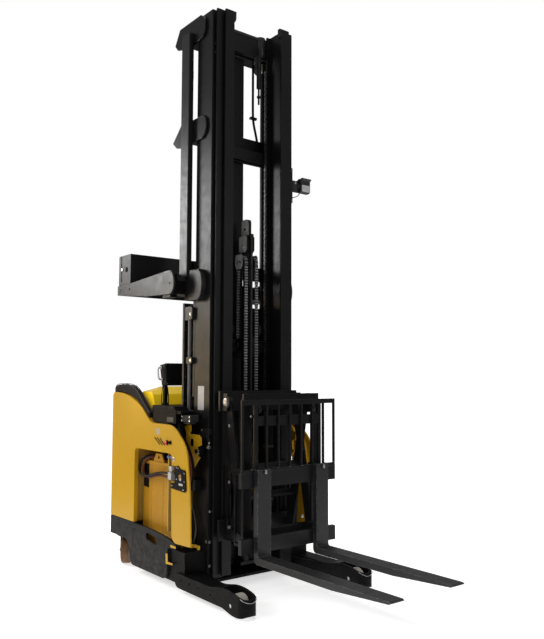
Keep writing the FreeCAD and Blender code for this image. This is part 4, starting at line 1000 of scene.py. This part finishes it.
# ---------------------------------------------------------------------------
# mast: pipe and clips beside the rail, plates, bolts, hoses
# ---------------------------------------------------------------------------
for sg, nm in ((-1, "right"), (1, "left")):
    nurbs("frame_pipe_" + nm, [(-240, sg * 350, 1122), (-240, sg * 350, 1300), (-240, sg * 350.5, 1500), (-240, sg * 350, 1700), (-240, sg * 350, 1826), (-240, sg * 340, 1842), (-240, sg * 322, 1846)],
          13.0, "root", "tube_grey", 4)
    bm = bmesh.new()
    for z0, z1, xa in ((1745, 1838, -286), (1446, 1496, -258), (1112, 1143, -276)):
        plate(bm, [(xa, z0 + 8), (xa + 8, z0), (-214, z0), (-188, z0 + 10), (-186, z1 - 10), (-206, z1), (xa + 8, z1), (xa, z1 - 8)],
              *sorted((sg * 364.0, sg * 368.5)))
    quad_box(bm, -214, -186, *sorted((sg * 345.0, sg * 366.0)), 1752, 1830)
    quad_box(bm, -214, -186, *sorted((sg * 345.0, sg * 366.0)), 1452, 1490)
    quad_box(bm, -214, -186, *sorted((sg * 345.0, sg * 366.0)), 1116, 1140)
    finish("frame_clips_" + nm, bm, "root", "mast_satin", bevel=2.0)
    bolts("frame_clip_bolts_" + nm, [((-205, sg * 368.5, 1786), (0, sg, 0), 8.0), ((-200, sg * 368.5, 1472), (0, sg, 0), 8.0), ((-200, sg * 368.5, 1127), (0, sg, 0), 7.0)],
          "root", "zinc", "hex")
    bm = bmesh.new()
    quad_box(bm, -211, -186, *sorted((sg * 322.0, sg * 345.0)), 700, 2028)
    finish("rail_backing_" + nm, bm, "root", "mast_black", bevel=1.5)
    bm = bmesh.new()
    plate(bm, rounded(-259, -226, 3440, 3498, 3), *sorted((sg * 361.0, sg * 352.0)))
    finish("stay_tab_" + nm, bm, "root", "mast_black", bevel=1.0)
# blank plate and blank disc on the near rail
bm = bmesh.new()
plate(bm, rounded(-138, -63, 1142, 1300, 4), -346.0, -344.8)
finish("mast_plate_blank", bm, "root", "pale_plate", bevel=0.3)
bm = bmesh.new()
lathe(bm, (-101, -345, 1107), (0, -1, 0), [(-0.3, 27), (1.2, 27), (1.8, 25.5), (1.8, 0.5)], 36)
finish("mast_disc_blank", bm, "root", "black_plastic", angle=40)
# raised rims along the stay plates, pressed from the sheet
for sg, nm in ((-1, "right"), (1, "left")):
    y = sg * 361.0
    nurbs("bracket_rim_top_" + nm, [(-133, y, 3862), (-92, y, 3842), (-71, y, 3803), (-73, y, 3742), (-98, y, 3703), (-155, y, 3691), (-200, y, 3700)], 2.6, "root", "mast_satin", 2)
    nurbs("bracket_rim_mid_" + nm, [(-150, y, 3138), (-93, y, 3137), (-55, y, 3108), (-46, y, 3060), (-58, y, 3013), (-102, y, 2984), (-170, y, 2984)], 2.6, "root", "mast_satin", 2)
    bm = bmesh.new()
    plate(bm, rounded(-238, -212, 3716, 3744, 4), *sorted((sg * 361.0, sg * 366.0)))
    finish("stay_foot_" + nm, bm, "root", "mast_satin", bevel=1.0)
    nurbs("bracket_boss_rim_" + nm, [(-160, sg * 387, 2079), (-92, sg * 387, 2079), (-52, sg * 387, 2048), (-38, sg * 387, 1975), (-52, sg * 387, 1905), (-96, sg * 387, 1873), (-160, sg * 387, 1876)], 3.2, "root", "mast_satin", 2)

# lift head: bolts, pins of the sheaves and the feed tube between the chains
bolts("head_bolts", [((-66, 34.0 * sg, 2262), (0, sg, 0), 9.0) for sg in (-1, 1)] + [((-72, 64.0 * sg, 2148), (0, sg, 0), 12.0) for sg in (-1, 1)],
      "lift_head", "zinc", "hex")
# black discs for the eye holes in the head's top plate: painted shade of the holes
bm = bmesh.new()
for sg in (-1, 1):
    lathe(bm, (-76, sg * 12.8, 2392), (0, sg, 0), [(-0.3, 9), (0.5, 9), (0.6, 0.5)], 20)
finish("head_eye", bm, "lift_head", "opening_shade_black", smooth=False)
# light grey plates over the side faces of the head's plates, the rest black: painted light on those faces
bm = bmesh.new()
for sg in (-1, 1):
    for face, y in (([(-116, 2133), (-101.5, 2106), (-44.5, 2106), (-28, 2133), (-28, 2195.5), (-40.5, 2208), (-103.5, 2208), (-116, 2195.5)], 64.0),
                    ([(-116, 2240.5), (-99.5, 2225), (-42.5, 2225), (-26, 2240.5), (-26, 2330.5), (-34.5, 2341), (-107.5, 2341), (-116, 2330.5)], 34.0),
                    ([(-116, 2346), (-34, 2346), (-34, 2437.5), (-41, 2453.5), (-60, 2459), (-91.5, 2459), (-109, 2453.5), (-116, 2437.5)], 12.0)):
        plate(bm, face, *sorted((sg * (y - 0.3), sg * (y + 0.9))))
finish("head_side_lit_plates", bm, "lift_head", "head_lit_grey", smooth=False)
bm = bmesh.new()
lathe(bm, (-18, 3, 440), (0, 0, 1), [(0, 10), (900, 10), (1908, 10)], 16)
tb = finish("feed_tube", bm, "lift_head", "mast_satin", angle=50)
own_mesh(tb)
bm = bmesh.new()
quad_box(bm, -30, -6, -8, 14, 2336, 2352)
lathe(bm, (-18, 3, 2330), (0, 0, 1), [(0, 14), (14, 14), (20, 11)], 20)
finish("feed_tube_head", bm, "lift_head", "mast_satin", bevel=1.0)

# inner mast: hose sheaves behind the head, hardware on the beams
for sg in (-1, 1):
    bm = bmesh.new()
    lathe(bm, (-110, sg * 118, 1690), (0, 1, 0), [(-12, 38), (-10, 45), (-7, 45), (-3, 39), (3, 39), (7, 45), (10, 45), (12, 38), (12, 12), (14, 12), (14, 1)], 32)
    finish("hose_sheave_" + ("right" if sg < 0 else "left"), bm, "mast_inner", "mast_satin", angle=40)
    bm = bmesh.new()
    plate(bm, rounded(-148, -96, 1665, 1715, 10), *sorted((sg * 100.0, sg * 104.0)))
    quad_box(bm, -148, -140, *sorted((sg * 100.0, sg * 150.0)), 1600, 1715)
    finish("hose_sheave_plate_" + ("right" if sg < 0 else "left"), bm, "mast_inner", "mast_satin", bevel=1.5)
# far side of the top: supply pipe, clamp and chain anchor with its nut
nurbs("supply_pipe", [(-230, 165, 3690), (-230, 165, 3600), (-230, 165, 3480), (-230, 165, 3360), (-230, 166, 3290), (-230, 172, 3230), (-230, 192, 3160), (-230, 206, 3100)],
      9.0, "root", "black_cable", 4)
bm = bmesh.new()
quad_box(bm, -242, -218, 140, 196, 3264, 3282)
finish("supply_pipe_clamp", bm, "root", "mast_satin", bevel=2.0)
bm = bmesh.new()
lathe(bm, (-100, 122, 3682), (0, 0, -1), [(0, 10), (40, 10), (42, 17), (232, 17), (238, 7), (288, 7), (289, 14), (303, 14), (304, 7), (350, 7), (354, 4)], 16)
quad_box(bm, -146, -90, 110, 134, 3640, 3694)
finish("chain_anchor", bm, "mast_inner", "mast_satin", bevel=0.8)
for sg, nm in ((-1, "right"), (1, "left")):
    bm = bmesh.new()
    lathe(bm, (-143, sg * 166, 3854), (0, 0, -1), [(0, 30), (3, 36), (10, 38), (26, 38), (27, 36.5), (30, 36.5), (31, 38), (140, 38), (150, 33), (154, 28)], 40)
    finish("chain_boss_" + nm, bm, "mast_inner", "boss_satin", angle=40)
bm = bmesh.new()
quad_box(bm, -150, -122, -215, 215, 3826, 3846)
finish("beam_top_lip", bm, "mast_inner", "boss_satin", bevel=2.0)
# bowed lips on the second beam of the outer mast
for dz, nm in ((0, "upper"), (-26, "lower")):
    nurbs("beam_lip_" + nm, [(-188, -180, 3000 + dz), (-184, -90, 2992 + dz), (-182, 0, 2984 + dz), (-182, 110, 2984 + dz), (-184, 190, 2990 + dz), (-188, 235, 2998 + dz)],
          4.0, "root", "mast_satin", 2)
# stops on the rails' tops
bm = bmesh.new()
for sg in (-1, 1):
    plate(bm, [(34, 3863), (60, 3863), (60, 3812), (50, 3798), (34, 3798)], *sorted((sg * 190.0, sg * 205.0)))
finish("inner_rail_stops", bm, "mast_inner", "mast_satin", bevel=1.5)
bolts("rail_top_bolts", [((0, sg * 318.0, z), (1, 0, 0), 7.0) for sg in (-1, 1) for z in (3560, 3620)], "root", "mast_satin", "hex")
# guide rollers between the stages
bm = bmesh.new()
for sg in (-1, 1):
    lathe(bm, (-60, sg * 293.5, 3740), (0, sg, 0), [(0, 12), (2, 44), (4, 46), (24, 46), (26, 44), (30, 16), (33, 16)], 32)
finish("middle_guide_rollers", bm, "root", "hub_grey", angle=40)
# screen frame corner bolts and the bolts of the hose guard
bolts("screen_bolts", [((-280, y, z), (1, 0, 0), 5.0) for y in (-356, 356) for z in (1200, 1360, 1520, 1680, 1840)], "root", "mast_satin", "button")
bolts("hose_guard_bolts", [((-183.5, y, z), (1, 0, 0), 5.0) for y in (-270, 30) for z in (3040, 2075, 1175, 3672)], "root", "mast_satin", "button")

# ---------------------------------------------------------------------------
# work light on the left rail
# ---------------------------------------------------------------------------
bm = bmesh.new()
quad_box(bm, -14, 4, 346, 356, 2622, 2879)
plate(bm, rounded(-12, 8, 2705, 2790, 6), 356, 404)
plate(bm, [(-16, 2735), (-16, 2765), (16, 2765), (16, 2735)], 398, 414)
o = finish("lamp_bracket", bm, "root", "lamp_metal", bevel=1.5)
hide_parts("work_light")
bm = bmesh.new()
plate(bm, [(-26, 2716), (-26, 2800), (4, 2812), (30, 2800), (30, 2716), (18, 2706), (-14, 2706)], 414, 504)
o = finish("lamp_housing", bm, "root", "lamp_metal", bevel=5.0, seg=3)
bm = bmesh.new()
for k in range(6):
    y = 424 + k * 14
    plate(bm, rounded(-30, -22, 2724, 2796, 3, 3), y, y + 4)
finish("lamp_fins", bm, "root", "lamp_metal", bevel=0.6)
bm = bmesh.new()
plate(bm, [(26, 2790), (45, 2806), (45, 2810), (22, 2812)], 416, 502)
finish("lamp_visor", bm, "root", "lamp_metal", bevel=1.0)
bm = bmesh.new()
plate(bm, rounded(422, 496, 2713, 2762, 8), 30, 33.5, plane="yz")
finish("lamp_lens", bm, "root", "lens", bevel=1.5)
bm = bmesh.new()
for k in range(4):
    lathe(bm, (31, 434 + k * 17, 2738), (1, 0, 0), [(1.5, 7.5), (4.0, 6.0), (4.6, 0.5)], 18)
finish("lamp_emitters", bm, "root", "pale_plate", angle=50)
nurbs("lamp_wire", [(-20, 440, 2708), (-22, 430, 2690), (-20, 400, 2676), (-16, 372, 2668), (-14, 358, 2650), (-14, 352, 2630)], 3.0, "root", "black_cable")
bolts("lamp_bolts", [((4, 351, 2640), (1, 0, 0), 5.0), ((4, 351, 2860), (1, 0, 0), 5.0), ((8, 380, 2770), (1, 0, 0), 5.0)], "root", "zinc", "hex")

# ---------------------------------------------------------------------------
# overhead guard
# ---------------------------------------------------------------------------
for sg, nm in ((-1, "right"), (1, "left")):
    bolts("guard_bolts_" + nm, [((-1040, sg * 480, 2016), (0, sg, 0), 7.0), ((-900, sg * 480, 2014), (0, sg, 0), 7.0)],
          "root", "mast_satin", "hex")
    bm = bmesh.new()
    lathe(bm, (-1022, sg * 478, 2170), (0, sg, 0), [(-0.5, 13), (3, 13), (8, 11), (9, 7), (9, 0.5)], 20)
    finish("header_knob_" + nm, bm, "root", "zinc", angle=40)
    bm = bmesh.new()
    arm = [(-1084, 1984), (-1084, 2050), (-890, 2052.5), (-600, 2070), (-332, 2086), (-306, 2080), (-285, 2068), (-268, 2051), (-257, 2032), (-251, 2010),
           (-252, 1986), (-258, 1963), (-270, 1944), (-284, 1931), (-302, 1924), (-640, 1937)]
    plate(bm, arm, *sorted((sg * 479.5, sg * 480.8)))
    finish("arm_cover_" + nm, bm, "root", "mast_satin", smooth=False)
    # black disc for the hole at the arm's end: painted shade of the hole
    bm = bmesh.new()
    lathe(bm, (-296, sg * 480.7, 1998), (0, sg, 0), [(-0.3, 8), (0.3, 8), (0.4, 0.5)], 18)
    finish("arm_hole_" + nm, bm, "root", "opening_shade_black", smooth=False)
    # a black disc and a black strip on the header: painted shade of a round hole and a slit
    bm = bmesh.new()
    lathe(bm, (-953, sg * 478, 2165), (0, sg, 0), [(-0.5, 21), (0.6, 21), (0.8, 0.5)], 26)
    plate(bm, [(-1045, 2272), (-1035, 2272), (-1028, 2078), (-1038, 2078)], *sorted((sg * 477.5, sg * 479.0)))
    finish("header_hole_shade_" + nm, bm, "root", "opening_shade_black", smooth=False)
nurbs("guard_cable_a", [(-470, -440, 2046), (-480, -438, 2062), (-500, -436, 2070), (-524, -436, 2066), (-540, -438, 2046)], 4.0, "root", "black_cable")
nurbs("guard_cable_b", [(-440, -444, 2046), (-452, -446, 2068), (-478, -446, 2078), (-500, -444, 2068), (-512, -442, 2046)], 4.0, "root", "black_cable")
# radio tray lights in the header: two blank pods under it
bm = bmesh.new()
for y in (-150, 150):
    plate(bm, rounded(y - 60, y + 60, 2058, 2092, 12), -1083, -1081, plane="yz")
finish("header_pods", bm, "root", "grey_plastic", bevel=1.0)

# ---------------------------------------------------------------------------
# wheels, drive unit, hood and floor of the operator's place
# ---------------------------------------------------------------------------
for sg, nm, body in ((-1, "right", "load_wheel_r"), (1, "left", "load_wheel_l")):
    bm = bmesh.new()
    for s2 in (-1, 1):
        lathe(bm, (510, sg * 463 + s2 * 33.5, 60), (0, s2, 0), [(0, 32), (1.5, 31), (1.5, 27), (0.4, 26), (0.4, 21), (2.5, 20.5), (2.5, 12.6)], 36, caps=False)
    finish("load_wheel_bearings_" + nm, bm, body, "axle_steel", angle=35)
    bm = bmesh.new()
    for s2 in (-1, 1):
        for k in range(6):
            a = k * math.pi / 3
            lathe(bm, (510 + 23.5 * math.cos(a), sg * 463 + s2 * 34.0, 60 + 23.5 * math.sin(a)), (0, s2, 0), [(0, 2.4), (1.0, 2.4), (1.6, 1.4), (1.6, 0.4)], 10)
    finish("load_wheel_rivets_" + nm, bm, body, "hub_grey", angle=40)
D = Vector((0.79, -0.613, 0)).normalized()
AX = Vector((-D.y, D.x, 0))
cc = (-969 + 30 * D.x, -420 + 30 * D.y, 95)
bm = bmesh.new()
for s2 in (-1, 1):
    o0 = (cc[0] + AX.x * s2 * 26, cc[1] + AX.y * s2 * 26, cc[2])
    lathe(bm, o0, AX * s2, [(-9, 58), (-8, 56), (-3, 52), (-3, 30), (2, 27), (2, 12)], 40, caps=False)
finish("caster_hub", bm, "caster_roller", "hub_grey", angle=35)
bm = bmesh.new()
for s2 in (-1, 1):
    o0 = (cc[0] + AX.x * s2 * 45, cc[1] + AX.y * s2 * 45, cc[2])
    hexbolt(bm, o0, AX * s2, 11.0, 8.0)
finish("caster_axle_nuts", bm, "caster", "axle_steel", angle=30)
bm = bmesh.new()
for s2 in (-1, 1):
    lathe(bm, (-880, 270 + s2 * 41, 150), (0, s2, 0), [(-1, 100), (0, 98), (0, 70), (5, 62), (5, 34), (9, 30), (9, 26)], 48, caps=False)
finish("drive_wheel_rim", bm, "drive_roller", "hub_grey", angle=35)
bm = bmesh.new()
for s2 in (-1, 1):
    for k in range(7):
        a = 2 * math.pi * k / 7
        hexbolt(bm, (-880 + 48 * math.cos(a), 270 + s2 * 46, 150 + 48 * math.sin(a)), (0, s2, 0), 7.5, 6.0)
finish("drive_wheel_nuts", bm, "drive_roller", "axle_steel", angle=30)
bm = bmesh.new()
for k in range(12):
    z = 440 + k * 20
    lathe(bm, (-880, 270, z), (0, 0, 1), [(0, 92), (1, 96.5), (7, 96.5), (8, 92)], 40)
finish("drive_motor_fins", bm, "drive", "hub_grey", angle=40)
bm = bmesh.new()
for k in range(8):
    a = 2 * math.pi * k / 8
    hexbolt(bm, (-880 + 114 * math.cos(a), 270 + 114 * math.sin(a), 348), (0, 0, 1), 7.0, 5.0)
finish("drive_ring_bolts", bm, "drive", "axle_steel", angle=30)
# hood: rear door line, vents, latch and screws; tread strips and pedal on the floor
# black slits for the vents: painted shade of the openings
bm = bmesh.new()
for k in range(9):
    plate(bm, stadium(130, 900 + k * 22, 380, 900 + k * 22, 4.5, 6), -1036.8, -1035.7, plane="yz")
finish("hood_vents", bm, "root", "opening_shade_black", smooth=False)
bm = bmesh.new()
for k in range(9):
    plate(bm, stadium(128, 907.5 + k * 22, 382, 907.5 + k * 22, 2.6, 6), -1038.4, -1035.7, plane="yz")
finish("hood_vent_lips", bm, "root", "body_paint", bevel=0.8)
bm = bmesh.new()
plate(bm, rounded(64, 448, 420, 1180, 22), -1037.2, -1036.0, plane="yz")
finish("hood_door", bm, "root", "body_paint", bevel=0.8)
bm = bmesh.new()
plate(bm, rounded(230, 282, 1130, 1156, 8), -1040.5, -1037, plane="yz")
lathe(bm, (-1040, 256, 1143), (-1, 0, 0), [(-1, 9), (3, 9), (4, 7), (4, 0.5)], 20)
finish("hood_latch", bm, "root", "black_plastic", bevel=1.0)
bolts("hood_screws", [((-1037.2, y, z), (-1, 0, 0), 5.0) for y in (84, 428) for z in (445, 800, 1160)], "root", "zinc", "button")
bm = bmesh.new()
for k in range(10):
    y = -455 + k * 46
    for x in range(-1010, -740, 54):
        plate(bm, stadium(x, y, x + 34, y, 4.0, 5), 261.6, 264.2, plane="xy")
finish("floor_tread", bm, "root", "rubber", bevel=0.8)
bm = bmesh.new()
plate(bm, rounded(-800, -728, -300, -200, 10), 264, 276, plane="xy")
for k in range(5):
    quad_box(bm, -792 + k * 14, -785 + k * 14, -292, -208, 275, 279)
finish("brake_pedal", bm, "root", "rubber", bevel=1.5)
bm = bmesh.new()
plate(bm, rounded(-430, 0, 880, 1110, 30), -712, -706.5, plane="yz")
finish("knee_panel", bm, "root", "pad_vinyl", bevel=2.5, seg=3)
# knob and hub cap of the tiller
bm = bmesh.new()
lathe(bm, (-870, 255, 1296), (0, 0, 1), [(0, 30), (6, 30), (10, 26), (11, 0.5)], 28)
finish("tiller_cap", bm, "tiller", "grey_plastic", angle=40)
bm = bmesh.new()
lathe(bm, (-775, 255, 1328), (0, 0, 1), [(0, 12), (4, 15), (12, 17.5), (17, 16), (19.4, 10), (20, 0.5)], 28)
finish("tiller_knob", bm, "tiller", "rubber", angle=60)

# ---------------------------------------------------------------------------
# carriage, reach arms and forks
# ---------------------------------------------------------------------------
bm = bmesh.new()
for sg in (-1, 1):
    for x, z in ((135, 1200),):
        lathe(bm, (x, sg * 307.0, z), (0, sg, 0), [(-0.5, 26), (4, 26), (5, 24), (5, 14), (8, 13), (8, 0.5)], 32)
finish("reach_pivot_caps", bm, "reach_outer", "axle_steel", angle=40)
bm = bmesh.new()
for sg in (-1, 1):
    for z in (420, 700, 1050):
        hexbolt(bm, (175, sg * 300.0, z), (1, 0, 0), 8.0, 6.0)
finish("carriage_bolts", bm, "carriage", "axle_steel", angle=30)
bm = bmesh.new()
for sg in (-1, 1):
    hexbolt(bm, (393, sg * 292.0, 1120), (1, 0, 0), 7.0, 4.0)
finish("frame_bolts", bm, "reach_front", "axle_steel", angle=30)
bm = bmesh.new()
for y0 in (-235, 235):
    lathe(bm, (468, y0, 790), (0, 0, 1), [(-14, 9), (9, 9), (10, 7), (10, 0.5)], 20)
    quad_box(bm, 421, 436, y0 - 34, y0 + 34, 742, 762)
finish("fork_latches", bm, "forks", "axle_steel", bevel=1.5)
bm = bmesh.new()
for y0 in (-285, -185, 185, 285):
    plate(bm, rounded(419.5, 428, 300, 360, 4), y0 - 2, y0 + 2)
finish("fork_side_stops", bm, "forks", "fork_steel", bevel=0.8)
bm = bmesh.new()
for y0 in (-300, -200, -100, 0, 100, 200, 300):
    quad_box(bm, 403, 419, y0 - 6, y0 + 6, 796, 802)
finish("carriage_notches", bm, "forks", "fork_steel", bevel=0.6)
# hydraulic lines along the carriage's front frame
for k, y in enumerate((-26, -10, 8, 24)):
    nurbs("carriage_line_%d" % (k + 1), [(182, y, 470), (190, y, 520), (191, y, 640), (190, y, 800), (191, y, 960), (189, y, 1080), (180, y * 1.3, 1140)], 6.0, "carriage", "black_cable", 3)
bm = bmesh.new()
for z in (560, 900):
    quad_box(bm, 172, 199, -38, 36, z, z + 14)
finish("carriage_line_clamps", bm, "carriage", "mast_satin", bevel=1.5)

# ---------------------------------------------------------------------------
# camera, floor and lights
# ---------------------------------------------------------------------------
CAM = Vector((3.7825, -2.9367, 1.364))
yaw, pitch, roll = math.radians(142.12), math.radians(4.51), math.radians(0.16)
f = Vector((math.cos(pitch) * math.cos(yaw), math.cos(pitch) * math.sin(yaw), math.sin(pitch)))
r = f.cross(Vector((0, 0, 1))).normalized()
u = r.cross(f)
r, u = r * math.cos(roll) + u * math.sin(roll), u * math.cos(roll) - r * math.sin(roll)
cam = bpy.data.cameras.new("camera")
cam.lens = 723.5 / 639.0 * 36.0
cam.sensor_width = 36.0
cam.clip_end = 100.0
cam_o = bpy.data.objects.new("camera", cam)
bpy.context.scene.collection.objects.link(cam_o)
cam_o.matrix_world = Matrix(((r.x, u.x, -f.x, CAM.x), (r.y, u.y, -f.y, CAM.y), (r.z, u.z, -f.z, CAM.z), (0, 0, 0, 1)))
bpy.context.scene.camera = cam_o
bpy.context.scene.view_settings.view_transform = "Standard"
bpy.context.scene.view_settings.look = "None"

# floor: a pale sheet round the truck, and the same white carried on to the horizon
def floor_ring(name, radii, glow0, glow1, r0, r1, base):
    bm = bmesh.new()
    n = 48
    cx, cy = (CAD_LO.x + CAD_HI.x) / 2, (CAD_LO.y + CAD_HI.y) / 2
    prev = None
    for rad in radii:
        if rad == 0.0:
            cur = [bm.verts.new((cx, cy, 0.0))]
        else:
            cur = [bm.verts.new((cx + rad * math.cos(2 * math.pi * k / n), cy + rad * math.sin(2 * math.pi * k / n), 0.0)) for k in range(n)]
        if prev is not None:
            for k in range(n):
                if len(prev) == 1:
                    bm.faces.new((prev[0], cur[k], cur[(k + 1) % n]))
                else:
                    bm.faces.new((prev[k], cur[k], cur[(k + 1) % n], prev[(k + 1) % n]))
        prev = cur
    me = bpy.data.meshes.new(name)
    bm.to_mesh(me)
    bm.free()
    o = bpy.data.objects.new(name, me)
    bpy.context.scene.collection.objects.link(o)
    k = Tree("studio_" + name)
    k.put("Base Color", k.scale((base, base, base), k.rng(k.noise(1.5, 2.0), 0.3, 0.7, 0.99, 1.01)))
    k.put("Roughness", 0.85)
    k.put("Specular IOR Level", 0.1)
    k.put("Emission Color", (1.0, 1.0, 1.0))
    ln = k.n.new("ShaderNodeVectorMath")
    ln.operation = "LENGTH"
    k.l.new(k.co, ln.inputs[0])
    k.put("Emission Strength", k.rng(ln.outputs["Value"], r0, r1, glow0, glow1))
    me.materials.append(k.m)
    return o


floor_ring("floor", [0.0, 1.0, 2.0, 3.2], 0.60, 1.0, 1.3, 2.9, 0.93)
far = floor_ring("floor_far", [3.2, 6.0, 12.0, 30.0, 90.0], 1.0, 1.0, 3.2, 4.0, 0.6)
far.visible_diffuse = False
far.visible_glossy = False

w = bpy.data.worlds.new("studio")
bpy.context.scene.world = w
w.use_nodes = True
nt = w.node_tree
nt.nodes.clear()
out = nt.nodes.new("ShaderNodeOutputWorld")
lp = nt.nodes.new("ShaderNodeLightPath")
tc = nt.nodes.new("ShaderNodeTexCoord")
sp = nt.nodes.new("ShaderNodeSeparateXYZ")
nt.links.new(tc.outputs["Generated"], sp.inputs[0])
ramp = nt.nodes.new("ShaderNodeMapRange")
ramp.inputs[1].default_value = -0.1
ramp.inputs[2].default_value = 0.8
ramp.inputs[3].default_value = 0.14
ramp.inputs[4].default_value = 0.42
nt.links.new(sp.outputs["Z"], ramp.inputs[0])
bg1 = nt.nodes.new("ShaderNodeBackground")
nt.links.new(ramp.outputs[0], bg1.inputs["Strength"])
bg1.inputs["Color"].default_value = (1, 1, 1, 1)
bg2 = nt.nodes.new("ShaderNodeBackground")
bg2.inputs["Color"].default_value = (1, 1, 1, 1)
bg2.inputs["Strength"].default_value = 1.0
mx = nt.nodes.new("ShaderNodeMixShader")
nt.links.new(lp.outputs["Is Camera Ray"], mx.inputs[0])
nt.links.new(bg1.outputs[0], mx.inputs[1])
nt.links.new(bg2.outputs[0], mx.inputs[2])
nt.links.new(mx.outputs[0], out.inputs[0])


def area(name, at, to, size, power, shape="RECTANGLE", size_y=None):
    l = bpy.data.lights.new(name, "AREA")
    l.shape = shape
    l.size = size
    if size_y:
        l.size_y = size_y
    l.energy = power
    o = bpy.data.objects.new(name, l)
    bpy.context.scene.collection.objects.link(o)
    o.location = at
    o.visible_camera = False
    o.rotation_mode = "QUATERNION"
    o.rotation_quaternion = (Vector(to) - Vector(at)).to_track_quat("-Z", "Y")
    return o


area("key", (0.6, -6.2, 4.2), (-0.7, -0.3, 1.0), 2.6, 66.0, size_y=2.6)
area("softbox", (-4.2, -2.9, 3.3), (-0.3, -0.3, 2.3), 1.2, 90.0, size_y=1.6)
area("top", (0.0, 0.5, 7.5), (-0.3, 0.0, 0.0), 3.0, 125.0, size_y=3.0)
area("front", (6.0, 1.5, 3.2), (0.2, 0.0, 1.0), 1.6, 45.0, size_y=1.6)
cab = bpy.data.lights.new("cab", "SPOT")
cab.energy = 130.0
cab.spot_size = math.radians(22.0)
cab.spot_blend = 0.7
cab.shadow_soft_size = 0.15
cab_o = bpy.data.objects.new("cab", cab)
bpy.context.scene.collection.objects.link(cab_o)
cab_o.location = (-0.55, -1.9, 2.6)
cab_o.rotation_mode = "QUATERNION"
cab_o.rotation_quaternion = (Vector((-0.86, 0.0, 1.2)) - Vector((-0.55, -1.9, 2.6))).to_track_quat("-Z", "Y")
area("low_glow", (-4.4, -3.1, 1.45), (-0.3, -0.3, 1.5), 0.9, 33.0, size_y=1.7).data.color = (1.0, 0.76, 0.44)
